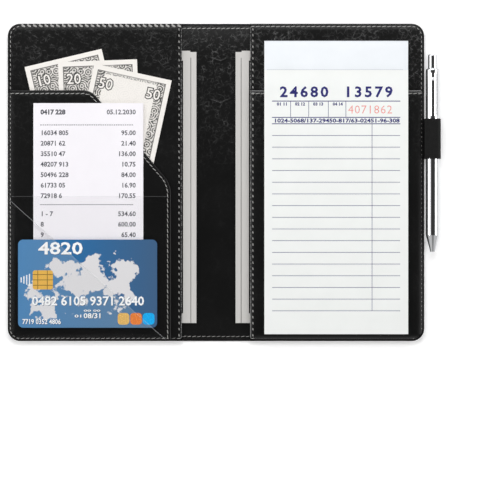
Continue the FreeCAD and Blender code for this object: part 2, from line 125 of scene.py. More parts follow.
SIDES = (("back", 1), ("front", -1))
LINING_PULL = 0.2 * MM
LINING_SLOPE = 4.0 * MM
POCKET_THICK = high("pad_pocket").z - low("pad_pocket_binding").z
POCKET_SEAM_TOP = COVER_TOP + POCKET_THICK
ROPE_INSET = 1.3 * MM

# Seam of the outer face: distances of its cuts from the edge, where it lies, how far it is drawn in,
# and how far from the head and the foot the panel inside it is cut across
SEAM_CUTS = [d * MM for d in (1.6, 2.4, 3.2, 4.0, 5.0, 6.2, 8.0)]
SEAM_LINE = 4.0 * MM
SEAM_DEPTH = 0.35 * MM
SEAM_CROSS_CUT = 16.0 * MM
OUTSIDE_STITCH_LEVEL = 0.3 * MM

# Stitches: their spacing and length as shares of the pitch, width as a share of the thread's,
# height as a share of the width, and slant in degrees
STITCHES = {
    "rope": (1.09, 1.0, 2.3, 0.3, -34),
    "rim": (0.95, 0.86, 0.65, 0.7, 10),
    "foot": (0.95, 0.8, 0.42, 0.7, 10),
    "side": (0.85, 0.55, 0.62, 0.7, 6),
    "fold": (1.15, 0.52, 0.85, 0.7, 8),
}

# Creases of the soft middle: where each turns, across and along, and how far its left and right arms run
STRIP_CREASES = (
    (3.4 * MM, 87.2 * MM, 9.6 * MM, 5.0 * MM),
    (3.6 * MM, 56.9 * MM, 9.6 * MM, 8.0 * MM),
)
CREASE_SLOPES = (0.36, 0.52)
CREASE_HEIGHT = 0.3 * MM
CREASE_WIDTH = 0.5 * MM
CREASE_CUT = 0.25 * MM

# Pen loop: the sides of its tube, the cuts in each rib, its gap to the pen and to the lining,
# and its tail's reach as a share of its radius and rounding as a share of its wall
LOOP_SIDES = 48
RIB_CUTS = 4
LOOP_GAP = 0.1 * MM
TAIL_REACH = 0.86
TAIL_ROUND = 0.3

# Wire and turns of the pen's return spring, the sides of its wire and the steps of each turn
SPRING_WIRE = 0.36 * MM
SPRING_TURNS = 7
SPRING_SIDES = 8
SPRING_STEPS = 24

# Layers of the pad: their number, how much of its height each fills, and how unevenly their feet lie
PAD_LAYERS = 8
LAYER_FILL = 0.94
LAYER_SHIFT = 0.25 * MM
LAYER_TURN = 2.1

# Where the checks have risen far enough to lie over the pocket
RAMP_END = POCKET_HEAD + 1.5 * MM

# How far below the middle the painted highlight along each lining's lip begins to fill in towards the foot
FRONT_LIP_HIGHLIGHT = 111.0 * MM
BACK_LIP_HIGHLIGHT = 70.0 * MM


def hex_colour(value, alpha=1.0):
    """An sRGB hex value as linear red, green, blue and alpha."""
    channels = [int(value[i:i + 2], 16) / 255 for i in (1, 3, 5)]
    linear = [c / 12.92 if c <= 0.04045 else ((c + 0.055) / 1.055) ** 2.4 for c in channels]
    return (*linear, alpha)


def colour_property(name, value, description):
    """A colour that a user can change."""
    return bpy.props.FloatVectorProperty(
        name=name, description=description, subtype="COLOR", size=4, min=0.0, max=1.0,
        default=hex_colour(value),
    )


def length_property(name, value, description):
    """A length in metres that a user can change."""
    return bpy.props.FloatProperty(
        name=name, description=description, unit="LENGTH", min=0.0, precision=5, default=value
    )


class PresenterColours(bpy.types.PropertyGroup):
    """Colours of the presenter's materials."""

    leather: colour_property("Leather", "#080808", "Dyed face of the leatherette")
    # The crease colours are painted highlights on the leatherette's creases
    crease: colour_property("Leather creases", "#353535", "Painted highlight on the leatherette's creases")
    strip_crease_highlight: colour_property("Middle creases", "#5c5c5c", "Painted highlight on the creases of the soft middle strip")
    back_crease_highlight: colour_property("Back lining creases", "#5e5e5e", "Painted highlight on the creases of the lining behind the pad")
    # Painted highlight along the linings' lips beside the rails
    lip_highlight: colour_property("Lip highlights", "#7c7c7c", "Painted highlight along the linings' edges beside the rails")
    thread: colour_property("Thread", "#c4c3c0", "Sewing thread")
    elastic: colour_property("Elastic", "#0a0a0a", "Woven elastic of the pen loop")
    rail: colour_property("Rails", "#c5c3c0", "Flat plastic rails beside the spine")
    check_paper: colour_property("Check paper", "#f5f7f5", "Paper of the checks")
    stub_paper: colour_property("Stub paper", "#f3f7fb", "Paper of the bound stub")
    receipt_paper: colour_property("Receipt paper", "#fbf8fd", "Thermal paper of the receipt")
    note_paper: colour_property("Banknote paper", "#f2eee9", "Unprinted paper of the notes")
    note_ink: colour_property("Banknote ink", "#3e3e3c", "Engraved lines of the notes")
    form_ink: colour_property("Form ink", "#2a2a6a", "Lines and figures of the check form")
    serial_ink: colour_property("Serial ink", "#e2958d", "Numbering on the check form")
    receipt_ink: colour_property("Receipt ink", "#55565c", "Thermal print of the receipt")
    card: colour_property("Card", "#1a74b4", "Printed ground of the payment card")
    card_end: colour_property("Card, right end", "#426286", "What the card's ground fades to")
    card_light: colour_property("Card, light", "#548abb", "Lighter ground of the payment card")
    card_light_end: colour_property("Card, light right end", "#6583a0", "What the lighter ground fades to")
    card_patch: colour_property("Card patches", "#e6e4e5", "Pale patches printed on the payment card")
    contact: colour_property("Contact plate", "#eebb55", "Plated contacts of the payment card")


class PresenterSizes(bpy.types.PropertyGroup):
    """Sizes of the presenter's sewing and surface work."""

    stitch_pitch: length_property("Stitch pitch", 3.8 * MM, "Distance from one stitch to the next")
    thread_width: length_property("Thread width", 0.8 * MM, "Width of the thread on the leather")
    stitch_inset: length_property("Stitch inset", 2.0 * MM, "Distance of a stitch line from its edge")
    mouth_inset: length_property("Mouth inset", 2.4 * MM, "Distance of a stitch line from a pocket's mouth")
    rib_pitch: length_property("Rib pitch", 1.45 * MM, "Distance between two ribs of the elastic")
    rib_depth: length_property("Rib depth", 0.2 * MM, "Depth of the grooves between two ribs")
    rule_pitch: length_property("Rule pitch", 8.4 * MM, "Distance between two ruled lines of the check form")
    note_lift: length_property("Note lift", 1.2 * MM, "How far the uppermost note's head stands off")


def colours():
    """The presenter's colours."""
    return bpy.context.scene.presenter_colours


def sizes():
    """The presenter's sizes."""
    return bpy.context.scene.presenter_sizes


# Modelling tools


def select_only(obj):
    """Make one object the only selected and the active one."""
    bpy.ops.object.select_all(action="DESELECT")
    obj.select_set(True)
    bpy.context.view_layer.objects.active = obj


def settle(obj):
    """Turn an object's place, turn and scale into its mesh."""
    select_only(obj)
    bpy.ops.object.transform_apply(location=True, rotation=True, scale=True)


def take(name):
    """Name the object that was just added, and settle its place into its mesh."""
    obj = bpy.context.object
    obj.name = name
    obj.data.name = name
    settle(obj)
    return obj


def add_block(name, lowest, highest):
    """A box between two corners."""
    bpy.ops.object.select_all(action="DESELECT")
    size = Vector(highest) - Vector(lowest)
    bpy.ops.mesh.primitive_cube_add(size=1, location=(Vector(lowest) + Vector(highest)) / 2)
    bpy.context.object.scale = size
    return take(name)


def add_grid(name, lowest, highest, height, cell):
    """A flat grid of cells of about one size, with its own UV map."""
    bpy.ops.object.select_all(action="DESELECT")
    wide, tall = highest[0] - lowest[0], highest[1] - lowest[1]
    bpy.ops.mesh.primitive_grid_add(
        x_subdivisions=max(2, round(wide / cell)),
        y_subdivisions=max(2, round(tall / cell)),
        size=1,
        location=((lowest[0] + highest[0]) / 2, (lowest[1] + highest[1]) / 2, height),
    )
    bpy.context.object.scale = (wide, tall, 1)
    return take(name)


def edit(obj):
    """Open one object for editing with nothing selected."""
    select_only(obj)
    bpy.ops.object.mode_set(mode="EDIT")
    bpy.ops.mesh.select_all(action="DESELECT")


def select(obj, kind, test):
    """In edit mode, select the vertices, edges or faces that pass a test on their corner points."""
    bpy.ops.mesh.select_all(action="DESELECT")
    bpy.ops.mesh.select_mode(type=kind)
    bpy.ops.object.mode_set(mode="OBJECT")
    mesh = obj.data
    for part in {"VERT": mesh.vertices, "EDGE": mesh.edges, "FACE": mesh.polygons}[kind]:
        ends = [part.index] if kind == "VERT" else part.vertices
        part.select = test([mesh.vertices[i].co for i in ends])
    bpy.ops.object.mode_set(mode="EDIT")


def cut(place, normal, clear=False):
    """In edit mode, cut everything with a plane, and clear what lies in front of it if asked."""
    bpy.ops.mesh.select_all(action="SELECT")
    bpy.ops.mesh.bisect(
        plane_co=place, plane_no=Vector(normal).normalized(), clear_outer=clear, threshold=TOUCH
    )


def cut_folds():
    """In edit mode, cut the leather closely across as far as it would bend, from the spine's middle to a
    little past the fold.
    """
    for i in range(1, int((FOLD + FOLD_BEND) / FOLD_CUT) + 2):
        cut((i * FOLD_CUT, 0, 0), (1, 0, 0))


def close_edit(recalculate=True):
    """Merge doubled points, turn the faces outwards and leave edit mode."""
    bpy.ops.mesh.select_all(action="SELECT")
    bpy.ops.mesh.remove_doubles(threshold=TOUCH)
    bpy.ops.mesh.dissolve_degenerate(threshold=TOUCH)
    if recalculate:
        bpy.ops.mesh.select_all(action="SELECT")
        bpy.ops.mesh.normals_make_consistent(inside=False)
    bpy.ops.object.mode_set(mode="OBJECT")


def apply_modifier(obj, kind, **settings):
    """Add a modifier with its settings and apply it."""
    select_only(obj)
    modifier = obj.modifiers.new(kind.title(), kind)
    for key, value in settings.items():
        setattr(modifier, key, value)
    bpy.ops.object.modifier_apply(modifier=modifier.name)


def repeat(obj, count, pitch):
    """Set copies of a piece in a row along X."""
    apply_modifier(
        obj, "ARRAY", count=count, use_relative_offset=False, use_constant_offset=True,
        constant_offset_displace=(pitch, 0, 0),
    )


def smooth(obj, degrees=40):
    """Shade a piece smooth but for its sharp edges."""
    select_only(obj)
    bpy.ops.object.shade_smooth_by_angle(angle=math.radians(degrees))


def mirror_over(obj):
    """Turn a piece of the back half into its mirror image for the front half."""
    edit(obj)
    bpy.ops.mesh.select_all(action="SELECT")
    bpy.ops.transform.resize(value=(-1, 1, 1), center_override=(0, 0, 0))
    close_edit()


def join(pieces, name):
    """Join several pieces into one."""
    bpy.ops.object.select_all(action="DESELECT")
    for piece in pieces:
        piece.select_set(True)
    bpy.context.view_layer.objects.active = pieces[0]
    bpy.ops.object.join()
    return take(name)


def finish_piece(obj, material, body=None, replaces=()):
    """Give a piece its material and the body that carries it, and hide the pieces of the frame that it stands
    for.
    """
    obj.data.materials.clear()
    obj.data.materials.append(material)
    if body:
        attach(obj, body)
    if replaces:
        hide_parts(*replaces)
    return obj


def rounded_path(corners, closed=True):
    """Points along straight runs through (x, y, radius) corners, with each corner rounded by an arc."""
    count = len(corners)
    points = []
    for i, (x, y, radius) in enumerate(corners):
        corner = Vector((x, y))
        if radius == 0 or (not closed and i in (0, count - 1)):
            points.append(corner)
            continue
        to_last = (Vector(corners[i - 1][:2]) - corner).normalized()
        to_next = (Vector(corners[(i + 1) % count][:2]) - corner).normalized()
        half = to_last.angle(to_next) / 2
        centre = corner + (to_last + to_next).normalized() * (radius / math.sin(half))
        start = corner + to_last * (radius / math.tan(half)) - centre
        end = corner + to_next * (radius / math.tan(half)) - centre
        turn = start.angle_signed(end)
        steps = max(1, round(abs(turn) / ARC_STEP))
        for step in range(steps + 1):
            angle = -turn * step / steps
            points.append(centre + Vector((
                start.x * math.cos(angle) - start.y * math.sin(angle),
                start.x * math.sin(angle) + start.y * math.cos(angle),
            )))
    return points


def evenly(points, pitch):
    """Places and headings along a path, a whole number of steps of about one pitch apart."""
    lengths = [(b - a).length for a, b in zip(points, points[1:])]
    count = max(1, round(sum(lengths) / pitch))
    step = sum(lengths) / count
    places = []
    for i in range(count):
        along = (i + 0.5) * step
        run = 0
        while run < len(lengths) - 1 and along > lengths[run]:
            along -= lengths[run]
            run += 1
        heading = (points[run + 1] - points[run]).normalized()
        places.append((points[run] + heading * along, math.atan2(heading.y, heading.x)))
    return places


def rectangle(left, foot, right, head):
    """Square corners of a sheet."""
    return [(left, foot, 0), (right, foot, 0), (right, head, 0), (left, head, 0)]


def trim(obj, outline):
    """Cut a flat grid to a convex outline that runs anticlockwise."""
    edit(obj)
    for a, b in zip(outline, outline[1:] + outline[:1]):
        if (b - a).length > TOUCH:
            cut((a.x, a.y, 0), (b.y - a.y, a.x - b.x, 0), clear=True)
    close_edit(recalculate=False)


def sheet(name, corners, top, thick, cell=SHEET_CELL, edge_round=EDGE_ROUND, shape=None):
    """A sheet with a rounded outline, softened edges and a top face that a function may shape."""
    xs = [corner[0] for corner in corners]
    ys = [corner[1] for corner in corners]
    obj = add_grid(name, (min(xs), min(ys)), (max(xs), max(ys)), top, cell)
    if any(corner[2] for corner in corners) or len(corners) != 4:
        trim(obj, rounded_path(corners))
    if shape:
        for vertex in obj.data.vertices:
            vertex.co.z += shape(vertex.co.x, vertex.co.y)
    apply_modifier(obj, "SOLIDIFY", thickness=thick, offset=-1, use_even_offset=True)
    if edge_round:
        apply_modifier(
            obj, "BEVEL", width=edge_round, segments=2, limit_method="ANGLE", angle_limit=math.radians(60)
        )
    smooth(obj)
    return obj


def ease(share):
    """A smooth step from 0 to 1."""
    share = min(max(share, 0), 1)
    return share * share * (3 - 2 * share)


def sewn_slope(left=None, right=None, foot=None, head=None, width=SEAM_SLOPE):
    """How a sheet comes down to its seat at its sewn sides, each given by its place and its drop."""
    def shape(x, y):
        drops = [0]
        for side, place, way in ((left, x, 1), (right, x, -1), (foot, y, 1), (head, y, -1)):
            if side:
                drops.append(side[1] * (1 - ease(way * (place - side[0]) / width)))
        return -max(drops)
    return shape


def figures(name, text, height, place, align="LEFT", wide=None, bold=0.015, spread=1.0, thick=INK):
    """Plain printed figures of a height, lying flat with their foot at a place, drawn to a width if asked."""
    bpy.ops.object.select_all(action="DESELECT")
    bpy.ops.object.text_add(location=place)
    obj = bpy.context.object
    obj.data.body = text
    obj.data.size = height / FIGURE_SHARE
    obj.data.align_x = align
    obj.data.offset = bold * height
    obj.data.space_character = spread
    obj.data.extrude = thick / 2
    obj.data.resolution_u = 2
    if wide:
        bpy.context.view_layer.update()
        obj.scale.x = wide / obj.dimensions.x
    bpy.ops.object.convert(target="MESH")
    return take(name)


def rule(name, start, end, width, height):
    """A printed line between two points."""
    a, b = Vector(start), Vector(end)
    half = Vector((width / 2, width / 2))
    lowest = Vector((min(a.x, b.x), min(a.y, b.y))) - half
    highest = Vector((max(a.x, b.x), max(a.y, b.y))) + half
    return add_block(name, (*lowest, height), (*highest, height + INK))


# Materials


def feed(tree, made, inputs):
    """Fill a node's inputs, by name or number: values are set, and nodes or their sockets are linked."""
    for key, value in inputs.items():
        named = [socket for socket in made.inputs if socket.enabled and socket.name == key]
        socket = named[0] if named else made.inputs[key]
        if isinstance(value, bpy.types.Node):
            value = [output for output in value.outputs if output.enabled][0]
        if isinstance(value, bpy.types.NodeSocket):
            tree.links.new(value, socket)
        else:
            socket.default_value = value


def node(tree, kind, inputs=None, **settings):
    """Add a node with its settings, and fill its inputs."""
    made = tree.nodes.new(kind)
    for key, value in settings.items():
        setattr(made, key, value)
    feed(tree, made, inputs or {})
    return made


def new_material(name, colour, roughness, **values):
    """A named material whose shader starts from one colour and roughness."""
    made = bpy.data.materials.new(name)
    made.use_nodes = True
    shader = made.node_tree.nodes["Principled BSDF"]
    feed(made.node_tree, shader, {"Base Color": colour, "Roughness": roughness})
    feed(made.node_tree, shader, {key.replace("_", " "): value for key, value in values.items()})
    return made, made.node_tree, shader


def per_metre(millimetres):
    """Texture scale that gives features of a real size."""
    return 1 / (millimetres * MM)


def shade(colour, level):
    """A colour made darker or lighter."""
    return (*(min(1, channel * level) for channel in colour[:3]), 1)


def leatherette(name, crease, lip_highlight_start=None):
    """Glazed PU leatherette: near black with a soft gloss and creased by hands, with a painted highlight on
    its creases and, if asked, a painted highlight along its lip.
    """
    made, tree, shader = new_material(name, colours().leather, 0.36, Specular_IOR_Level=0.25)
    place = node(tree, "ShaderNodeTexCoord").outputs["Object"]
    drift = node(tree, "ShaderNodeTexNoise", {"Vector": place, "Scale": per_metre(9), "Detail": 2.0})
    pull = [4.5 * MM] * 3
    drawn = {0: drift.outputs["Color"], 1: pull, 2: place}
    bent = node(tree, "ShaderNodeVectorMath", drawn, operation="MULTIPLY_ADD")
    # The creases are drawn wider apart than the finest real ones, so that they show
    lines = None
    for cell_mm, width, level in ((6.0, 0.04, 1.0), (2.6, 0.07, 0.7)):
        cells = {"Vector": bent, "Scale": per_metre(cell_mm)}
        gaps = node(tree, "ShaderNodeTexVoronoi", cells, feature="DISTANCE_TO_EDGE")
        fading = {"Value": gaps, "From Max": width, "To Min": level, "To Max": 0.0}
        net = node(tree, "ShaderNodeMapRange", fading)
        lines = node(tree, "ShaderNodeMath", {0: lines, 1: net}, operation="MAXIMUM") if lines else net
    breaks = node(tree, "ShaderNodeTexNoise", {"Vector": place, "Scale": per_metre(3.0), "Detail": 2.0})
    patches = node(tree, "ShaderNodeTexNoise", {"Vector": place, "Scale": per_metre(30), "Detail": 4.0})
    # The creases and their painted highlight are strongest at the head end, where the light falls from, and
    # faint from the middle to the foot
    along = node(tree, "ShaderNodeSeparateXYZ", {"Vector": place}).outputs["Y"]
    shares = (
        {"Value": breaks, "From Min": 0.42, "From Max": 0.6},
        {"Value": patches, "From Min": 0.35, "From Max": 0.65, "To Min": 0.3},
        {"Value": along, "From Min": 0.0, "From Max": 95 * MM, "To Min": 0.06},
    )
    creased = lines
    for share in shares:
        shown = node(tree, "ShaderNodeMapRange", share)
        creased = node(tree, "ShaderNodeMath", {0: creased, 1: shown}, operation="MULTIPLY")
    # The paler crease colour is a painted highlight where the creases catch the light
    mixed = {"Factor": creased, "A": colours().leather, "B": crease}
    highlighted_colour = node(tree, "ShaderNodeMix", mixed, data_type="RGBA")
    # A painted highlight along the lining's lip beside the rail: speckled, and filling in towards the foot
    if lip_highlight_start:
        across = node(tree, "ShaderNodeSeparateXYZ", {"Vector": place}).outputs["X"]
        across = node(tree, "ShaderNodeMath", {0: across}, operation="ABSOLUTE")
        speckle = node(tree, "ShaderNodeTexNoise", {"Vector": place, "Scale": per_metre(1.1)})
        speckle = node(tree, "ShaderNodeMapRange", {"Value": speckle, "From Min": 0.4, "From Max": 0.62})
        towards_foot = {"Value": along, "From Min": -lip_highlight_start, "From Max": -SHEET_HEAD}
        highlight_towards_foot = node(tree, "ShaderNodeMapRange", towards_foot)
        speckle = node(tree, "ShaderNodeMath", {0: speckle, 1: highlight_towards_foot}, operation="MAXIMUM")
        full_highlight_to, no_highlight_from = LIP + 0.3 * MM, LIP + 1.0 * MM
        lip = {"Value": across, "From Min": full_highlight_to, "From Max": no_highlight_from, "To Min": 1.0, "To Max": 0.0}
        lip = node(tree, "ShaderNodeMapRange", lip)
        highlighted = node(tree, "ShaderNodeMath", {0: speckle, 1: lip}, operation="MULTIPLY")
        mixed = {"Factor": highlighted, "A": highlighted_colour, "B": colours().lip_highlight}
        highlighted_colour = node(tree, "ShaderNodeMix", mixed, data_type="RGBA")
    pebble = node(tree, "ShaderNodeTexNoise", {"Vector": place, "Scale": per_metre(1.4), "Detail": 2.0})
    relief = node(tree, "ShaderNodeMath", {0: pebble, 1: 0.25, 2: creased}, operation="MULTIPLY_ADD")
    feed(tree, shader, {
        "Base Color": highlighted_colour,
        "Roughness": node(tree, "ShaderNodeMapRange", {"Value": patches, "To Min": 0.3, "To Max": 0.42}),
        "Normal": node(tree, "ShaderNodeBump", {"Height": relief, "Distance": 0.1 * MM}),
    })
    return made


def edge_paint(name):
    """Burnished edge paint on a rolled leatherette edge: black, smooth and wet-looking."""
    made, tree, shader = new_material(name, colours().leather, 0.2, Coat_Weight=1.0, Coat_Roughness=0.12)
    place = node(tree, "ShaderNodeTexCoord").outputs["Object"]
    brush = node(tree, "ShaderNodeTexNoise", {"Vector": place, "Scale": per_metre(4.0), "Detail": 2.0})
    mixed = {"Factor": brush, "A": colours().leather, "B": colours().crease}
    feed(tree, shader, {
        "Base Color": node(tree, "ShaderNodeMix", mixed, data_type="RGBA"),
        "Roughness": node(tree, "ShaderNodeMapRange", {"Value": brush, "To Min": 0.15, "To Max": 0.3}),
    })
    return made


def sewing_thread(name):
    """Waxed polyester thread: pale, slightly uneven, with a dry sheen."""
    made, tree, shader = new_material(name, colours().thread, 0.6, Sheen_Weight=0.15)
    place = node(tree, "ShaderNodeTexCoord").outputs["Object"]
    wax = node(tree, "ShaderNodeTexNoise", {"Vector": place, "Scale": per_metre(2.4)})
    mixed = {"Factor": wax, "A": shade(colours().thread, 0.45), "B": colours().thread}
    feed(tree, shader, {"Base Color": node(tree, "ShaderNodeMix", mixed, data_type="RGBA")})
    return made


def clear_vinyl(name, value, alpha):
    """Soft clear PVC sheet: it greys what it covers a little, under a smooth wet gloss."""
    made, tree, shader = new_material(name, hex_colour(value), 0.18, Alpha=alpha, IOR=1.53)
    place = node(tree, "ShaderNodeTexCoord").outputs["Object"]
    waves = node(tree, "ShaderNodeTexNoise", {"Vector": place, "Scale": per_metre(30), "Detail": 1.0})
    feed(tree, shader, {"Normal": node(tree, "ShaderNodeBump", {"Height": waves, "Distance": 0.8 * MM})})
    return made


def woven_elastic(name):
    """Braided black elastic: matt, with a fine woven tooth between its ribs."""
    made, tree, shader = new_material(
        name, colours().elastic, 0.85, Sheen_Weight=0.03, Specular_IOR_Level=0.2
    )
    place = node(tree, "ShaderNodeTexCoord").outputs["Object"]
    weave = node(tree, "ShaderNodeTexVoronoi", {"Vector": place, "Scale": per_metre(0.7)})
    # The weave is paler on its raised points, the same texture as its bump: a painted highlight on the weave
    mixed = {"Factor": weave, "A": colours().elastic, "B": shade(colours().elastic, 2.2)}
    feed(tree, shader, {
        "Base Color": node(tree, "ShaderNodeMix", mixed, data_type="RGBA"),
        "Normal": node(tree, "ShaderNodeBump", {"Height": weave, "Distance": 0.12 * MM}),
    })
    return made


def paper(name, colour, cloudiness=0.07):
    """Uncoated paper: nearly flat, with a faint cloudiness and fibres that soften its surface."""
    made, tree, shader = new_material(name, colour, 0.85, Specular_IOR_Level=0.25)
    place = node(tree, "ShaderNodeTexCoord").outputs["Object"]
    cloud = node(tree, "ShaderNodeTexNoise", {"Vector": place, "Scale": per_metre(16), "Detail": 5.0})
    fibre = node(tree, "ShaderNodeTexNoise", {"Vector": place, "Scale": per_metre(0.8)})
    mixed = {"Factor": cloud, "A": shade(colour, 1 - cloudiness), "B": colour}
    feed(tree, shader, {
        "Base Color": node(tree, "ShaderNodeMix", mixed, data_type="RGBA"),
        "Normal": node(tree, "ShaderNodeBump", {"Height": fibre, "Distance": 0.03 * MM}),
    })
    return made


def ink(name, colour):
    """Printing ink soaked into paper: matt, and a little broken by the fibres."""
    made, tree, shader = new_material(name, colour, 0.8, Specular_IOR_Level=0.2)
    place = node(tree, "ShaderNodeTexCoord").outputs["Object"]
    fibre = node(tree, "ShaderNodeTexNoise", {"Vector": place, "Scale": per_metre(0.9)})
    broken = node(tree, "ShaderNodeMapRange", {"Value": fibre, "From Min": 0.45, "From Max": 0.75})
    mixed = {"Factor": broken, "A": colour, "B": shade(colour, 1.6)}
    feed(tree, shader, {"Base Color": node(tree, "ShaderNodeMix", mixed, data_type="RGBA")})
    return made


def engraved_note(name, wide, tall, left_panel, right_panel, panel_length):
    """Intaglio print on note paper: pale margins, dark panels at both ends and a rosette on a light field."""
    made, tree, shader = new_material(name, colours().note_paper, 0.8, Specular_IOR_Level=0.25)
    uv = node(tree, "ShaderNodeTexCoord").outputs["UV"]
    place = node(tree, "ShaderNodeMapping", {"Vector": uv, "Scale": (wide, tall, 1)})
    centre = (wide / 2, tall / 2, 0)
    from_centre = node(tree, "ShaderNodeVectorMath", {0: place, 1: centre}, operation="SUBTRACT")
    split = node(tree, "ShaderNodeSeparateXYZ", {"Vector": from_centre})
    across = split.outputs["X"]
    along = node(tree, "ShaderNodeMath", {0: split.outputs["Y"]}, operation="ABSOLUTE")
    margin, head_band, frame_line = 3.4, 2.2, 0.7
    side, end = wide / 2 - margin, tall / 2 - margin
    bands = (
        (across, -side, side),
        (along, -end, end),
        (across, frame_line - side, side - frame_line),
        (along, frame_line - end, end - frame_line),
        (across, -side, left_panel - side),
        (across, side - right_panel, side),
        (along, end - head_band, end),
        (along, end - panel_length, end),
    )
    inside_x, inside_y, inner_x, inner_y, left, right, head, ends = [
        node(
            tree, "ShaderNodeMath", {0: axis, 1: (first + last) / 2, 2: (last - first) / 2},
            operation="COMPARE",
        )
        for axis, first, last in bands
    ]
    # The engraved rosettes are drawn coarser than the real ones, so that they show
    cells = {"Vector": place, "Scale": 1 / 6.5, "Randomness": 0.9}
    cells = node(tree, "ShaderNodeTexVoronoi", cells, voronoi_dimensions="2D")
    turns = node(tree, "ShaderNodeMath", {0: cells, 1: 27.0}, operation="MULTIPLY")
    rings = node(tree, "ShaderNodeMath", {0: turns}, operation="SINE")
    burr = {"Vector": place, "Scale": 1 / 2.2, "Detail": 3.0, "Roughness": 0.75}
    burr = node(tree, "ShaderNodeTexNoise", burr)
    rough = node(tree, "ShaderNodeMath", {0: rings, 1: 0.2, 2: burr}, operation="MULTIPLY_ADD")
    dark = {"Value": rough, "From Min": 0.32, "From Max": 0.7, "To Min": 0.1}
    dark = node(tree, "ShaderNodeMapRange", dark)
    pale = {"Value": rough, "From Min": 0.4, "From Max": 1.0, "To Max": 0.12}
    pale = node(tree, "ShaderNodeMapRange", pale)
    panels = node(tree, "ShaderNodeMath", {0: left, 1: right}, operation="MAXIMUM")
    panels = node(tree, "ShaderNodeMath", {0: panels, 1: ends}, operation="MULTIPLY")
    panels = {0: head, 1: 0.7, 2: panels}
    panels = node(tree, "ShaderNodeMath", panels, operation="MULTIPLY_ADD", use_clamp=True)
    # A closer line frames the panels
    within = node(tree, "ShaderNodeMath", {0: inner_x, 1: inner_y}, operation="MINIMUM")
    edged = node(tree, "ShaderNodeMix", {"Factor": within, "A": 0.85, "B": dark})
    printed = node(tree, "ShaderNodeMix", {"Factor": panels, "A": pale, "B": edged})
    # A lobed rosette of waved rings
    rosette, lobes, lobe_depth, ring_pitch = 16.0, 14, 1.2, 2.4
    radius = node(tree, "ShaderNodeVectorMath", {0: from_centre}, operation="LENGTH")
    turn = node(tree, "ShaderNodeMath", {0: split.outputs["Y"], 1: across}, operation="ARCTAN2")
    wave = node(tree, "ShaderNodeMath", {0: turn, 1: float(lobes)}, operation="MULTIPLY")
    wave = node(tree, "ShaderNodeMath", {0: wave}, operation="SINE")
    lobed = node(tree, "ShaderNodeMath", {0: wave, 1: lobe_depth, 2: radius}, operation="MULTIPLY_ADD")
    phase = node(tree, "ShaderNodeMath", {0: lobed, 1: 2 * math.pi / ring_pitch}, operation="MULTIPLY")
    ringed = node(tree, "ShaderNodeMath", {0: phase}, operation="SINE")
    ringed = {"Value": ringed, "From Min": -1.0, "To Min": 0.1, "To Max": 0.8}
    ringed = node(tree, "ShaderNodeMapRange", ringed)
    within = node(tree, "ShaderNodeMath", {0: lobed, 1: rosette}, operation="LESS_THAN")
    printed = node(tree, "ShaderNodeMix", {"Factor": within, "A": printed, "B": ringed})
    for limit in (inside_x, inside_y):
        printed = node(tree, "ShaderNodeMath", {0: printed, 1: limit}, operation="MULTIPLY")
    mixed = {"Factor": printed, "A": colours().note_paper, "B": colours().note_ink}
    feed(tree, shader, {
        "Base Color": node(tree, "ShaderNodeMix", mixed, data_type="RGBA"),
        "Normal": node(tree, "ShaderNodeBump", {"Height": printed, "Distance": 0.02 * MM}),
    })
    return made


def printed_card(name):
    """Gloss laminated PVC card: a blue ground in two tones, with pale ragged patches printed over it."""
    made, tree, shader = new_material(name, colours().card, 0.25, Coat_Weight=0.2)
    corner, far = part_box("payment_card")
    coords = node(tree, "ShaderNodeTexCoord").outputs["Object"]
    place = node(tree, "ShaderNodeMapping", {"Vector": coords, "Location": -corner})
    split = node(tree, "ShaderNodeSeparateXYZ", {"Vector": place})
    steepness = 0.895
    slant = {0: split.outputs["X"], 1: steepness, 2: split.outputs["Y"]}
    slant = node(tree, "ShaderNodeMath", slant, operation="MULTIPLY_ADD")
    facet = (far.x - corner.x) * steepness * 0.965
    soft = 0.1 * MM
    split_tone = {"Value": slant, "From Min": facet - soft, "From Max": facet + soft}
    tone = node(tree, "ShaderNodeMapRange", split_tone)
    fade = node(tree, "ShaderNodeMapRange", {"Value": split.outputs["X"], "From Max": far.x - corner.x})
    tones = ((colours().card_light, colours().card_light_end), (colours().card, colours().card_end))
    light, deep = [
        node(tree, "ShaderNodeMix", {"Factor": fade, "A": near, "B": end}, data_type="RGBA")
        for near, end in tones
    ]
    ground = node(tree, "ShaderNodeMix", {"Factor": tone, "A": light, "B": deep}, data_type="RGBA")
    splash = {"Vector": place, "Scale": per_metre(24), "Detail": 7.0, "Roughness": 0.6, "W": 3.0}
    splash = node(tree, "ShaderNodeTexNoise", splash, noise_dimensions="4D")
    # The patches keep to the middle of the card
    span, clear = far - corner, 0.16
    for axis, width in (("X", span.x), ("Y", span.y)):
        off = node(tree, "ShaderNodeMath", {0: split.outputs[axis], 1: width / 2}, operation="SUBTRACT")
        out = node(tree, "ShaderNodeMath", {0: off, 1: 2 / width}, operation="MULTIPLY")
        out = node(tree, "ShaderNodeMath", {0: out, 1: 4.0}, operation="POWER")
        splash = node(tree, "ShaderNodeMath", {0: out, 1: -clear, 2: splash}, operation="MULTIPLY_ADD")
    edge = {"Value": splash, "From Min": 0.485, "From Max": 0.5, "To Max": 0.95}
    patches = node(tree, "ShaderNodeMapRange", edge)
    mixed = {"Factor": patches, "A": ground, "B": colours().card_patch}
    feed(tree, shader, {"Base Color": node(tree, "ShaderNodeMix", mixed, data_type="RGBA")})
    return made


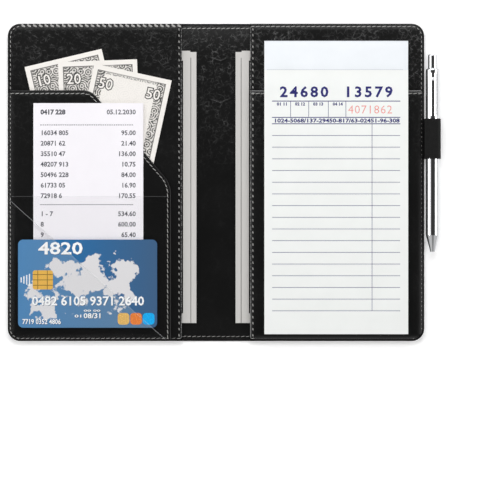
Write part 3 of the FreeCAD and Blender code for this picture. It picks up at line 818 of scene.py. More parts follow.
def gold_contact(name):
    """Gold-plated contact plate: warm satin metal divided by thin dark gaps."""
    made, tree, shader = new_material(name, colours().contact, 0.5, Metallic=0.3)
    corner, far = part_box("card_chip")
    coords = node(tree, "ShaderNodeTexCoord").outputs["Object"]
    place = node(tree, "ShaderNodeMapping", {"Vector": coords, "Location": -corner})
    split = node(tree, "ShaderNodeSeparateXYZ", {"Vector": place})
    half_gap = 0.25 * MM
    across, along = ("X", far.x - corner.x), ("Y", far.y - corner.y)
    gaps = None
    for (axis, span), shares in ((across, (0.25, 0.72)), (along, (0.22, 0.5, 0.78))):
        for share in shares:
            line = {0: split.outputs[axis], 1: span * share, 2: half_gap}
            line = node(tree, "ShaderNodeMath", line, operation="COMPARE")
            gaps = node(tree, "ShaderNodeMath", {0: gaps, 1: line}, operation="MAXIMUM") if gaps else line
    mixed = {"Factor": gaps, "A": colours().contact, "B": shade(colours().contact, 0.3)}
    feed(tree, shader, {"Base Color": node(tree, "ShaderNodeMix", mixed, data_type="RGBA")})
    return made


def satin_plastic(name, colour, grain_mm=1.2):
    """Moulded satin plastic: an even colour with the faint tooth of the mould."""
    made, tree, shader = new_material(name, colour, 0.42)
    place = node(tree, "ShaderNodeTexCoord").outputs["Object"]
    tooth = node(tree, "ShaderNodeTexNoise", {"Vector": place, "Scale": per_metre(grain_mm), "Detail": 3.0})
    mixed = {"Factor": tooth, "A": shade(colour, 0.9), "B": colour}
    feed(tree, shader, {
        "Base Color": node(tree, "ShaderNodeMix", mixed, data_type="RGBA"),
        "Normal": node(tree, "ShaderNodeBump", {"Height": tooth, "Distance": 0.03 * MM}),
    })
    return made


def rail_plastic(name, colour):
    """Extruded satin plastic: pale grey, with painted shade along its groove and painted shade deepening
    under the lining's lip.
    """
    made, tree, shader = new_material(name, colour, 0.42)
    inner, outer = low("back_side_rail"), high("back_side_rail")
    groove, half_line, head_gap = inner.x + 4.05 * MM, 0.35 * MM, 5.0 * MM
    place = node(tree, "ShaderNodeTexCoord").outputs["Object"]
    split = node(tree, "ShaderNodeSeparateXYZ", {"Vector": place})
    across = node(tree, "ShaderNodeMath", {0: split.outputs["X"]}, operation="ABSOLUTE")
    # Painted shade: a dark line along the groove, stopping short of the head, and a darkening across the rail
    # towards its outer edge, where the lining's lip would shade it
    line = node(tree, "ShaderNodeMath", {0: across, 1: groove, 2: half_line}, operation="COMPARE")
    below = {0: split.outputs["Y"], 1: outer.y - head_gap}
    below = node(tree, "ShaderNodeMath", below, operation="LESS_THAN")
    line = node(tree, "ShaderNodeMath", {0: line, 1: below}, operation="MULTIPLY")
    lip = {"Value": across, "From Min": groove, "From Max": outer.x, "To Max": 0.45}
    lip = node(tree, "ShaderNodeMapRange", lip)
    painted_shade = node(tree, "ShaderNodeMath", {0: line, 1: lip}, operation="MAXIMUM")
    mixed = {"Factor": painted_shade, "A": shade(colour, 1.08), "B": shade(colour, 0.62)}
    tooth = node(tree, "ShaderNodeTexNoise", {"Vector": place, "Scale": per_metre(1.2), "Detail": 3.0})
    feed(tree, shader, {
        "Base Color": node(tree, "ShaderNodeMix", mixed, data_type="RGBA"),
        "Normal": node(tree, "ShaderNodeBump", {"Height": tooth, "Distance": 0.03 * MM}),
    })
    return made


def polished_metal(name, colour, roughness):
    """Plated or drawn metal: bright, with fine lengthways handling marks in its gloss."""
    made, tree, shader = new_material(name, colour, roughness, Metallic=1.0)
    coords = node(tree, "ShaderNodeTexCoord").outputs["Object"]
    drawn_out = node(tree, "ShaderNodeMapping", {"Vector": coords, "Scale": (1, 0.08, 1)})
    marks = node(tree, "ShaderNodeTexNoise", {"Vector": drawn_out, "Scale": per_metre(0.6)})
    spread = {
        "Value": marks, "From Min": 0.3, "From Max": 0.8,
        "To Min": roughness * 0.7, "To Max": roughness * 1.5,
    }
    feed(tree, shader, {"Roughness": node(tree, "ShaderNodeMapRange", spread)})
    return made


def fibre_board(name, value):
    """Pressed board or foam inside the work: dull, with flecks of fibre."""
    made, tree, shader = new_material(name, hex_colour(value), 0.9)
    place = node(tree, "ShaderNodeTexCoord").outputs["Object"]
    fleck = node(tree, "ShaderNodeTexNoise", {"Vector": place, "Scale": per_metre(1.5), "Detail": 6.0})
    mixed = {"Factor": fleck, "A": hex_colour(value), "B": shade(hex_colour(value), 0.7)}
    feed(tree, shader, {"Base Color": node(tree, "ShaderNodeMix", mixed, data_type="RGBA")})
    return made


def sheet_stack(name):
    """Cut edges of a block of paper: fine lines, one for every few sheets."""
    made, tree, shader = new_material(name, colours().check_paper, 0.85)
    place = node(tree, "ShaderNodeTexCoord").outputs["Object"]
    layers = {"Vector": place, "Scale": per_metre(2.2), "Distortion": 0.4}
    layers = node(tree, "ShaderNodeTexWave", layers, bands_direction="Z")
    mixed = {"Factor": layers, "A": shade(colours().check_paper, 0.72), "B": colours().check_paper}
    feed(tree, shader, {"Base Color": node(tree, "ShaderNodeMix", mixed, data_type="RGBA")})
    return made


def finish(name, make, *values):
    """A material by name, made the first time it is asked for."""
    return bpy.data.materials.get(name) or make(name, *values)


def leather():
    """The leatherette that the outer cover and its trim are cut from."""
    return finish("Glazed leatherette", leatherette, colours().crease)


def lining_leather(side):
    """The leatherette of one half's inner panels, with a painted highlight along the lip that fills in
    towards the foot.
    """
    crease, highlight_start = {
        "front": (colours().crease, FRONT_LIP_HIGHLIGHT),
        "back": (colours().back_crease_highlight, BACK_LIP_HIGHLIGHT),
    }[side]
    return finish("Edge-worn leatherette, " + side, leatherette, crease, highlight_start)


def white_print():
    """The white ink of the card's figures and bars."""
    return finish("White card print", ink, hex_colour("#f4f5f6"))


# Pieces


def bend_with_spine(obj):
    """Bake a soft piece's place, turn and scale into its mesh."""
    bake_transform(obj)


def seam_pull(x, y):
    """How far the outer face is drawn in at a place, so that the padded panel stands proud."""
    along, beside = x - (EDGE - CORNER_RADIUS), abs(y) - (HEAD - CORNER_RADIUS)
    if along > 0 and beside > 0:
        inset = CORNER_RADIUS - math.hypot(along, beside)
    else:
        inset = min(EDGE - x, HEAD - abs(y))
    width = SEAM_LINE - SEAM_CUTS[0] if inset < SEAM_LINE else SEAM_CUTS[-1] - SEAM_LINE
    return SEAM_DEPTH * ease(1 - abs(inset - SEAM_LINE) / width)


def cover_leather(name):
    """Outer leather of the back half: a flat sheet from the spine's middle, turned up round the board."""
    obj = add_block(name, (0, -HEAD, 0), (EDGE, HEAD, COVER_TOP))
    edit(obj)
    select(obj, "EDGE", lambda p: all(abs(c.x - EDGE) < TOUCH for c in p) and abs(p[0].z - p[1].z) > TOUCH)
    bpy.ops.mesh.bevel(offset=CORNER_RADIUS, segments=10)
    for level, radius, segments in ((COVER_TOP, RIM_TOP_ROUND, 2), (0, RIM_BOTTOM_ROUND, 4)):
        select(
            obj, "EDGE",
            lambda p: all(abs(c.z - level) < TOUCH for c in p) and any(c.x > TOUCH for c in p),
        )
        bpy.ops.mesh.bevel(offset=radius, segments=segments)
    select(obj, "FACE", lambda p: len(p) > 8 and all(abs(c.z - COVER_TOP) < TOUCH for c in p))
    bpy.ops.mesh.inset(thickness=RIM_WIDTH - RIM_TOP_ROUND)
    bpy.ops.mesh.extrude_region_move(TRANSFORM_OT_translate={"value": (0, 0, SKIN_TOP - COVER_TOP)})
    cut_folds()
    cut((LIP - FOLD_CUT, 0, 0), (1, 0, 0))
    cut((LIP, 0, 0), (1, 0, 0))
    select(obj, "VERT", lambda p: p[0].x < LIP - TOUCH and p[0].z > SKIN_TOP)
    bpy.ops.transform.resize(value=(1, 1, 0), center_override=(0, 0, SKIN_TOP))
    select(obj, "FACE", lambda p: all(abs(c.z) < TOUCH and c.x > LIP - TOUCH for c in p))
    for last, this in zip(SEAM_CUTS, SEAM_CUTS[1:]):
        bpy.ops.mesh.inset(thickness=this - last)
    for way in (-1, 1):
        cut((0, way * (HEAD - SEAM_CROSS_CUT), 0), (0, 1, 0))
    close_edit()
    for vertex in obj.data.vertices:
        if vertex.co.z < TOUCH and vertex.co.x > LIP - TOUCH:
            vertex.co.z += seam_pull(vertex.co.x, vertex.co.y)
    smooth(obj)
    return obj


class PRESENTER_OT_cover_leather(bpy.types.Operator):
    """Model the outer leather of both covers, laid flat across the spine"""

    bl_idname = "presenter.cover_leather"
    bl_label = "Cover leather"

    def execute(self, context):
        for side, sign in SIDES:
            obj = cover_leather(side + "_cover_leather")
            if sign < 0:
                mirror_over(obj)
            nodes = [side + "_cover_skin"] + (["spine_skin"] if side == "back" else [])
            finish_piece(obj, leather(), replaces=nodes)
            bend_with_spine(obj)
        return {"FINISHED"}


def crease_height(x, y):
    """How far the soft middle stands up in its creases."""
    height = 0
    for turn_x, turn_y, left, right in STRIP_CREASES:
        along = abs(x - turn_x)
        reach, slope = (left, CREASE_SLOPES[0]) if x < turn_x else (right, CREASE_SLOPES[1])
        fade = ease(2 - 2 * along / reach)
        height += CREASE_HEIGHT * fade * math.exp(-((y - turn_y - slope * along) / CREASE_WIDTH) ** 2)
    return height


def strip_leather(name, sign):
    """Thin creased lining of one half's share of the soft middle, drawn on the back half's side."""
    reach = high("back_strip_lining").x
    obj = add_block(name, (0, -SHEET_HEAD, SKIN_TOP), (reach, SHEET_HEAD, STRIP_TOP))
    edit(obj)
    select(obj, "EDGE", lambda p: abs(p[0].y - p[1].y) < TOUCH and all(c.z > SKIN_TOP + TOUCH for c in p))
    bpy.ops.mesh.bevel(offset=EDGE_ROUND, segments=3)
    cut_folds()
    for _, turn_y, *reaches in STRIP_CREASES:
        rise = max(reach * slope for reach, slope in zip(reaches, CREASE_SLOPES))
        start, end = turn_y - 3 * CREASE_WIDTH, turn_y + rise + 3 * CREASE_WIDTH
        for i in range(round((end - start) / CREASE_CUT) + 1):
            cut((0, start + i * CREASE_CUT, 0), (0, 1, 0))
    close_edit()
    for vertex in obj.data.vertices:
        if vertex.co.z > STRIP_TOP - TOUCH:
            vertex.co.z += crease_height(sign * vertex.co.x, vertex.co.y)
    smooth(obj)
    return obj


class PRESENTER_OT_strip_leather(bpy.types.Operator):
    """Model the lining of the soft middle, laid flat across the spine"""

    bl_idname = "presenter.strip_leather"
    bl_label = "Middle strip"

    def execute(self, context):
        creased = finish("Creased leatherette", leatherette, colours().strip_crease_highlight)
        for side, sign in SIDES:
            obj = strip_leather(side + "_middle_strip", sign)
            if sign < 0:
                mirror_over(obj)
            nodes = [side + "_strip_lining"] + (["spine_strip_lining"] if side == "back" else [])
            finish_piece(obj, creased, replaces=nodes)
            bend_with_spine(obj)
        return {"FINISHED"}


class PRESENTER_OT_linings(bpy.types.Operator):
    """Model the inner leather panels of both covers"""

    bl_idname = "presenter.linings"
    bl_label = "Linings"

    def execute(self, context):
        corners = [
            (LIP, -SHEET_HEAD, LIP_RADIUS),
            (SHEET_EDGE, -SHEET_HEAD, SHEET_RADIUS),
            (SHEET_EDGE, SHEET_HEAD, SHEET_RADIUS),
            (LIP, SHEET_HEAD, LIP_RADIUS),
        ]
        shape = sewn_slope(
            left=(LIP, LINING_PULL), right=(SHEET_EDGE, LINING_PULL), foot=(-SHEET_HEAD, LINING_PULL),
            head=(SHEET_HEAD, LINING_PULL), width=LINING_SLOPE,
        )
        thick = COVER_TOP - LINING_LOW - LINING_PULL
        for side, sign in SIDES:
            obj = sheet(side + "_inner_lining", corners, COVER_TOP, thick, shape=shape)
            if sign < 0:
                mirror_over(obj)
            finish_piece(obj, lining_leather(side), side + "_half", [side + "_lining"])
        return {"FINISHED"}


def currency_corners(inset=0.0):
    """Outline of the currency pocket with its slanted mouth, drawn in along its free edge."""
    foot, head = low("currency_pocket_binding").y, POCKET_HEAD - inset
    side = high("currency_pocket_binding").x - inset
    cut_wide, cut_tall = 57.8 * MM, 67.3 * MM
    side_round, head_round = 20 * MM, 12 * MM
    slant = math.hypot(cut_wide, cut_tall)
    cut_x = high("currency_pocket_binding").x - cut_wide - inset * (1 - cut_wide / slant) / (cut_tall / slant)
    cut_y = POCKET_HEAD - cut_tall - inset * (1 - cut_tall / slant) / (cut_wide / slant)
    return [
        (-SHEET_EDGE, foot, SHEET_RADIUS),
        (side, foot, 0),
        (side, cut_y, side_round - inset),
        (cut_x, head, head_round - inset),
        (-SHEET_EDGE, head, 0),
    ]


def currency_shape():
    """How the currency pocket comes down to its seams."""
    drop = low("currency_pocket_binding").z - COVER_TOP
    return sewn_slope(left=(-SHEET_EDGE, drop), foot=(-SHEET_HEAD, drop))


def pad_pocket_shape():
    """How the pad pocket comes down to its seams."""
    drop = low("pad_pocket_binding").z - COVER_TOP
    return sewn_slope(left=(LIP, drop), right=(SHEET_EDGE, drop), foot=(-SHEET_HEAD, drop), width=PAD_SLOPE)


def rolled_edge(name, path, height, width, thick):
    """A rolled leather edge along a path."""
    bpy.ops.object.select_all(action="DESELECT")
    bpy.ops.curve.primitive_nurbs_path_add()
    curve = bpy.context.object.data
    curve.splines.clear()
    spline = curve.splines.new("POLY")
    spline.points.add(len(path) - 1)
    for point, place in zip(spline.points, path):
        point.co = (place.x, place.y, 0, 1)
    curve.dimensions = "3D"
    curve.bevel_depth = width / 2
    curve.bevel_resolution = 3
    curve.use_fill_caps = True
    bpy.ops.object.convert(target="MESH")
    obj = take(name)
    edit(obj)
    bpy.ops.mesh.select_all(action="SELECT")
    bpy.ops.transform.resize(value=(1, 1, thick / width), center_override=(0, 0, 0))
    bpy.ops.transform.translate(value=(0, 0, height))
    close_edit()
    smooth(obj)
    return obj


class PRESENTER_OT_pockets(bpy.types.Operator):
    """Model the leather pockets of both covers, with their rolled edges"""

    bl_idname = "presenter.pockets"
    bl_label = "Leather pockets"

    def execute(self, context):
        width = high("pad_pocket_binding").y - low("pad_pocket_binding").y
        top = high("currency_pocket").z
        corners = currency_corners(width / 2)
        obj = sheet("currency_pocket_leather", corners, top, POCKET_THICK, shape=currency_shape())
        finish_piece(obj, leather(), "front_half", ["currency_pocket"])
        mouth = rounded_path([corners[i] for i in (1, 2, 3, 4)], closed=False)
        binding_thick = high("currency_pocket_binding").z - low("currency_pocket_binding").z
        obj = rolled_edge("currency_pocket_edge", mouth, top - POCKET_THICK / 2, width, binding_thick)
        finish_piece(obj, leather(), "front_half", ["currency_pocket_binding"])

        top = high("pad_pocket").z
        head = POCKET_HEAD - width / 2
        corners = [
            (LIP, -SHEET_HEAD, LIP_RADIUS),
            (SHEET_EDGE, -SHEET_HEAD, SHEET_RADIUS),
            (SHEET_EDGE, head, 0),
            (LIP, head, 0),
        ]
        obj = sheet("pad_pocket_leather", corners, top, POCKET_THICK, shape=pad_pocket_shape())
        finish_piece(obj, lining_leather("back"), "back_half", ["pad_pocket"])
        mouth = [Vector((LIP + width / 2, head)), Vector((SHEET_EDGE - width / 2, head))]
        obj = rolled_edge("pad_pocket_edge", mouth, top - POCKET_THICK / 2, width, binding_thick)
        painted = finish("Burnished edge paint", edge_paint)
        finish_piece(obj, painted, "back_half", ["pad_pocket_binding"])
        return {"FINISHED"}


class PRESENTER_OT_clear_pockets(bpy.types.Operator):
    """Model the clear pockets of the front cover, with painted highlights along the cut edges of their mouths
    """

    bl_idname = "presenter.clear_pockets"
    bl_label = "Clear pockets"

    def execute(self, context):
        films = (
            finish("Clear PVC sheet", clear_vinyl, "#16181a", 0.022),
            finish("Thin clear PVC sheet", clear_vinyl, "#2c3034", 0.013),
        )
        # The cut edges are white, nearly clear beads: a painted highlight along each mouth, dimmer on the
        # receipt pocket and brighter on the card pocket
        dim_edge_highlight = finish("Worn cut edge of PVC sheet", clear_vinyl, "#f6f8fa", 0.03)
        bright_edge_highlight = finish("Fresh cut edge of PVC sheet", clear_vinyl, "#f6f8fa", 0.12)
        bead = 0.45 * MM
        foot = -SHEET_HEAD
        leather_edge = COVER_TOP + high("currency_pocket").z - low("currency_pocket_binding").z
        for layer, node_name in enumerate(("receipt_pocket", "card_pocket")):
            left, right, head, top = -SHEET_EDGE, high(node_name).x, high(node_name).y, high(node_name).z
            drop = top - leather_edge - FILM_THICK * (layer + 1)
            if node_name == "receipt_pocket":
                corners = [(left, foot, SHEET_RADIUS), (right, foot, 0), (right, head, 0), (left, head, 0)]
                seat = top - FILM_THICK - high("currency_pocket").z
                shape = sewn_slope(left=(left, drop), right=(right, seat), foot=(foot, drop))
                mouth = [Vector((left, head)), Vector((right, head))]
                cut_edge_highlight = dim_edge_highlight
            else:
                corners = [(left, foot, SHEET_RADIUS), (right, foot, 0), (left, head, 0)]
                shape = sewn_slope(left=(left, drop), foot=(foot, drop), width=FILM_SLOPE)
                mouth = [Vector((left, head)), Vector((right, foot))]
                cut_edge_highlight = bright_edge_highlight
            obj = sheet(node_name + "_film", corners, top, FILM_THICK, FILM_CELL, edge_round=0, shape=shape)
            finish_piece(obj, films[layer], "front_half", [node_name])
            path = [mouth[0].lerp(mouth[1], i / CUT_EDGE_STEPS) for i in range(CUT_EDGE_STEPS + 1)]
            obj = rolled_edge(node_name + "_cut_edge", path, top - FILM_THICK / 2, bead, FILM_THICK)
            for vertex in obj.data.vertices:
                vertex.co.z += shape(vertex.co.x, vertex.co.y)
            finish_piece(obj, cut_edge_highlight, "front_half")
        return {"FINISHED"}


class PRESENTER_OT_pen_loop(bpy.types.Operator):
    """Model the ribbed elastic loop and the tail that is sewn into the cover"""

    bl_idname = "presenter.pen_loop"
    bl_label = "Pen loop"

    def execute(self, context):
        lowest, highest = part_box("pen_loop")
        barrel_low, barrel_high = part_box("pen_upper_barrel")
        axis = (barrel_low + barrel_high) / 2
        radius = highest.x - axis.x
        wall = radius - (barrel_high.x - axis.x) - LOOP_GAP
        length = highest.y - lowest.y
        ribs, depth = round(length / sizes().rib_pitch), sizes().rib_depth
        bpy.ops.object.select_all(action="DESELECT")
        bpy.ops.mesh.primitive_cylinder_add(
            vertices=LOOP_SIDES, radius=radius, depth=length, end_fill_type="NOTHING",
            location=(axis.x, (lowest.y + highest.y) / 2, axis.z), rotation=(math.pi / 2, 0, 0),
        )
        obj = take("pen_loop_elastic")
        edit(obj)
        slices = ribs * RIB_CUTS
        for i in range(1, slices):
            cut((0, lowest.y + length * i / slices, 0), (0, 1, 0))
        close_edit()
        for vertex in obj.data.vertices:
            share = (vertex.co.y - lowest.y) / length * ribs
            groove = depth * (1 - abs(math.sin(math.pi * share)))
            out = Vector((vertex.co.x - axis.x, 0, vertex.co.z - axis.z)).normalized()
            vertex.co -= out * groove
        apply_modifier(obj, "SOLIDIFY", thickness=wall - depth, offset=-1)
        tail_low = LINING_LOW - wall
        tail_end = (axis.x - radius * TAIL_REACH, highest.y, LINING_LOW - LOOP_GAP)
        tail = add_block("pen_loop_tail", (lowest.x, lowest.y, tail_low), tail_end)
        edit(tail)
        select(
            tail, "EDGE",
            lambda p: all(c.z > tail_low + TOUCH for c in p) and abs(p[0].y - p[1].y) < TOUCH,
        )
        bpy.ops.mesh.bevel(offset=wall * TAIL_ROUND, segments=2)
        close_edit()
        obj = join([obj, tail], "pen_loop_elastic")
        smooth(obj)
        braid = finish("Braided elastic", woven_elastic)
        finish_piece(obj, braid, "back_half", ["pen_loop"])
        return {"FINISHED"}


def stitch(style):
    """One plump stitch, lying along X at the origin."""
    _, length_share, width_share, flatness, _ = STITCHES[style]
    length, width = sizes().stitch_pitch * length_share, sizes().thread_width * width_share
    bpy.ops.object.select_all(action="DESELECT")
    bpy.ops.mesh.primitive_uv_sphere_add(segments=8, ring_count=6, radius=0.5, rotation=(0, math.pi / 2, 0))
    model = take("stitch")
    edit(model)
    bpy.ops.mesh.select_all(action="SELECT")
    bpy.ops.transform.resize(value=(length, width, width * flatness), center_override=(0, 0, 0))
    bpy.ops.object.mode_set(mode="OBJECT")
    return model


def stitch_row(name, runs, body=None, shape=None):
    """Stitches along several runs, each a path, a height and a style, copied from one model per style."""
    copies = []
    for path, height, style in runs:
        model = stitch(style)
        spacing, *_, slant = STITCHES[style]
        for place, heading in evenly(path, sizes().stitch_pitch * spacing):
            copy = model.copy()
            copy.data = model.data.copy()
            copy.location = (place.x, place.y, height)
            copy.rotation_euler = (0, 0, heading + math.radians(slant))
            bpy.context.scene.collection.objects.link(copy)
            copies.append(copy)
        bpy.data.objects.remove(model)
    row = join(copies, name)
    if shape:
        for vertex in row.data.vertices:
            vertex.co.z += shape(vertex.co.x, vertex.co.y)
    smooth(row, 80)
    return finish_piece(row, finish("Waxed polyester thread", sewing_thread), body)


class PRESENTER_OT_stitching(bpy.types.Operator):
    """Sew the edges, the pocket mouths and the fold side of both covers"""

    bl_idname = "presenter.stitching"
    bl_label = "Stitching"

    def execute(self, context):
        for side, sign in SIDES:
            self.sew_rim(side, sign)
            self.sew_outside(side, sign)
            self.sew_fold(side, sign)
            self.sew_strip(side, sign)
        self.sew_mouths()
        return {"FINISHED"}

    def sew_rim(self, side, sign):
        """Stitches round the inside of a cover, over whatever is sewn in there."""
        inset = sizes().stitch_inset
        edge, head, radius = EDGE - inset, HEAD - inset, CORNER_RADIUS - inset
        rope_head = HEAD - ROPE_INSET
        bend = edge - radius
        film_head = high("receipt_pocket").y
        front = side == "front"
        top = COVER_TOP - LINING_PULL
        foot_top = POCKET_SEAM_TOP + (2 * FILM_THICK if front else 0)
        pocket_edge = -high("currency_pocket_binding").x if front else LIP

        def run(*points):
            return rounded_path([(sign * x, y, radius) for x, y in points], closed=False)

        runs = [
            (run((LIP, rope_head), (bend, rope_head)), top, "rope") if front
            else (run((LIP, head), (bend, head)), top, "rim"),
            (run((bend, head), (edge, head), (edge, POCKET_HEAD)), top, "side"),
            (run((edge, POCKET_HEAD), (edge, film_head)), POCKET_SEAM_TOP, "side"),
            (run((edge, film_head), (edge, -head), (bend, -head)), foot_top, "side"),
            (run((bend, -head), (pocket_edge, -head)), foot_top, "foot"),
        ]
        if front:
            runs.append((run((pocket_edge, -head), (LIP, -head)), top, "foot"))
        stitch_row(side + "_rim_stitching", runs, side + "_half")

    def sew_outside(self, side, sign):
        """Stitches round the outer face of a cover, along its drawn-in seam."""
        edge, head, radius = EDGE - SEAM_LINE, HEAD - SEAM_LINE, CORNER_RADIUS - SEAM_LINE
        start = LIP + SEAM_LINE
        corners = [(start, head), (edge, head), (edge, -head), (start, -head)]
        path = rounded_path([(sign * x, y, radius) for x, y in corners], closed=False)
        stitch_row(side + "_outside_stitching", [(path, OUTSIDE_STITCH_LEVEL, "rim")], side + "_half")

    def sew_fold(self, side, sign):
        """Stitches that close a cover along the fold side of its board."""
        hinge, head = sign * (LIP + sizes().stitch_inset), HEAD - sizes().stitch_inset
        lining_top = COVER_TOP - LINING_PULL / 2
        places = [Vector((hinge, y)) for y in (head, POCKET_HEAD, -head)]
        if side == "front":
            runs = [([places[0], places[2]], lining_top, "fold")]
        else:
            rise = pad_pocket_shape()(hinge, 0)
            runs = [(places[:2], lining_top, "fold"), (places[1:], high("pad_pocket").z + rise, "fold")]
        stitch_row(side + "_fold_stitching", runs, side + "_half")

    def sew_strip(self, side, sign):
        """Stitches across both ends of the soft middle."""
        line = SHEET_HEAD - sizes().stitch_inset
        ends = ((line, "rim"), (-line, "foot"))
        runs = [([Vector((0, y)), Vector((sign * LIP, y))], STRIP_TOP, style) for y, style in ends]
        row = stitch_row(side + "_strip_stitching", runs)
        bend_with_spine(row)

    def sew_mouths(self):
        """Stitches along the mouths of the leather pockets."""
        corners = currency_corners(sizes().mouth_inset)
        path = rounded_path([corners[i] for i in (1, 2, 3, 4)], closed=False)
        runs = [(path, high("currency_pocket").z, "rim")]
        stitch_row("currency_mouth_stitching", runs, "front_half", currency_shape())
        line = POCKET_HEAD - sizes().mouth_inset
        runs = [([Vector((LIP, line)), Vector((SHEET_EDGE, line))], high("pad_pocket").z, "rim")]
        stitch_row("pad_mouth_stitching", runs, "back_half", pad_pocket_shape())


def form_print(pieces, name, material, body):
    """Join printed pieces into one and give it its ink."""
    return finish_piece(join(pieces, name), material, body)


class PRESENTER_OT_guest_pad(bpy.types.Operator):
    """Model the pad, its stub, its uppermost check and the printed form"""

    bl_idname = "presenter.guest_pad"
    bl_label = "Guest-check pad"

    def execute(self, context):
        self.make_block()
        self.make_check()
        self.make_form("check", "loose_check", high("top_check").z, "4071862")
        self.make_form("next_check", "guest_pad", high("pad_block").z, "4071863")
        return {"FINISHED"}

    def make_block(self):
        """The stack of checks, as slightly uneven layers, with its stub cover."""
        lowest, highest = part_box("pad_block")
        stub_low, stub_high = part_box("pad_stub_cover")
        thick = (stub_low.z - lowest.z) / PAD_LAYERS
        shape = self.ride_over(stub_low.y, highest.z - stub_low.z)
        pieces = []
        for i in range(PAD_LAYERS):
            foot = lowest.y + abs(LAYER_SHIFT * math.sin(LAYER_TURN * i))
            corners = rectangle(lowest.x, foot, highest.x, highest.y)
            top = lowest.z + thick * (i + 1)
            pieces.append(sheet(
                "pad_layer", corners, top, thick * LAYER_FILL, cell=6 * MM, edge_round=0, shape=shape
            ))
        block = join(pieces, "pad_check_stack")
        smooth(block)
        stacked = finish("Stacked check paper", sheet_stack)
        finish_piece(block, stacked, "guest_pad", ["pad_block"])
        corners = rectangle(stub_low.x, stub_low.y, stub_high.x, stub_high.y)
        thick = stub_high.z - stub_low.z
        stub = sheet("pad_stub_strip", corners, stub_high.z, thick, cell=5 * MM, edge_round=0.08 * MM)
        bound = finish("Stub paper", paper, colours().stub_paper)
        finish_piece(stub, bound, "guest_pad", ["pad_stub_cover"])
        slit, pitch, width, inset = 1.0 * MM, 1.4 * MM, 0.3 * MM, 2.0 * MM
        start, line = stub_low.x + inset, stub_low.y + width
        slits = rule("stub_perforation", (start, line), (start + slit, line), width, stub_high.z)
        repeat(slits, int((stub_high.x - inset - start) / pitch), pitch)
        torn = finish("Perforated paper edge", paper, shade(colours().stub_paper, 0.68))
        finish_piece(slits, torn, "guest_pad")

    def ride_over(self, stub_line, rise):
        """How a sheet rises from the stub to lie over the pocket."""
        def shape(_, y):
            return rise * ease((stub_line - y) / (stub_line - RAMP_END))
        return shape

    def make_check(self):
        """The uppermost check, which lies over the pocket and turns over at the stub."""
        lowest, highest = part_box("top_check")
        thick = 0.12 * MM
        rise = highest.z - thick - lowest.z
        corners = rectangle(lowest.x, lowest.y, highest.x, highest.y)
        shape = self.ride_over(highest.y, rise)
        top = lowest.z + thick
        page = sheet("top_check_page", corners, top, thick, cell=3 * MM, edge_round=0, shape=shape)
        plain = finish("Check paper", paper, colours().check_paper)
        finish_piece(page, plain, "loose_check", ["top_check"])

    def make_form(self, name, body, page_top, serial):
        """Ruled boxes, lines and plain figures of the form on one check."""
        lowest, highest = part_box("top_check")
        level = page_top + INK_GAP
        left, right = lowest.x + 5.8 * MM, highest.x - 6.0 * MM
        box_head, box_foot, band_foot = 58.3 * MM, 46.6 * MM, 42.0 * MM
        thin, bold = 0.35 * MM, 0.6 * MM
        columns = (53.7 * MM, 66.7 * MM, 80.8 * MM, 93.4 * MM)
        lines = [rule("line", (left, y), (right, y), bold, level) for y in (box_head, box_foot, band_foot)]
        lines += [rule("line", (x, box_foot), (x, box_head), thin, level) for x in columns]
        row = band_foot - sizes().rule_pitch
        while row > lowest.y + 14 * MM:
            lines.append(rule("line", (left, row), (right, row), thin, level))
            row -= sizes().rule_pitch
        last = row + sizes().rule_pitch
        price = right - 20 * MM
        lines.append(rule("line", (price, last), (price, band_foot), thin, level))
        blue = finish("Form ink", ink, colours().form_ink)
        form_print(lines, name + "_form_rules", blue, body)

        place = (86.5 * MM, 61.4 * MM, level)
        header = figures(
            "figures", "24680  13579", 7.3 * MM, place, "CENTER", wide=81.0 * MM, bold=0.04, spread=1.3
        )
        words = [header]
        for i, start in enumerate((left, *columns[:3]), 1):
            place = (start + 3.2 * MM, 55.2 * MM, level)
            words.append(figures("figures", f"0{i} 1{i}", 2.1 * MM, place, wide=7.2 * MM, bold=0.06))
        band = "1024-5068/137-29450-817/63-02451-96-308"
        place = (left + 1.0 * MM, 43.0 * MM, level)
        words.append(figures("figures", band, 2.7 * MM, place, wide=right - left - 2 * MM, bold=0.05))
        form_print(words, name + "_form_figures", blue, body)
        place = (94.9 * MM, 49.4 * MM, level)
        number = figures(name + "_serial", serial, 5.9 * MM, place, bold=-0.008, spread=1.1)
        finish_piece(number, finish("Serial ink", ink, colours().serial_ink), body)


def note_place(side):
    """Middle, turn and size of a note, from the way it slides and the box that it fills."""
    axis = joint(f"note_{side}_slide")["axis"]
    turn = math.atan2(-axis[0], axis[1])
    lowest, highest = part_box("banknote_" + side)
    span, lean = highest - lowest, abs(turn)
    wide = (span.x * math.cos(lean) - span.y * math.sin(lean)) / math.cos(2 * lean)
    tall = (span.y * math.cos(lean) - span.x * math.sin(lean)) / math.cos(2 * lean)
    return (lowest + highest) / 2, turn, wide, tall


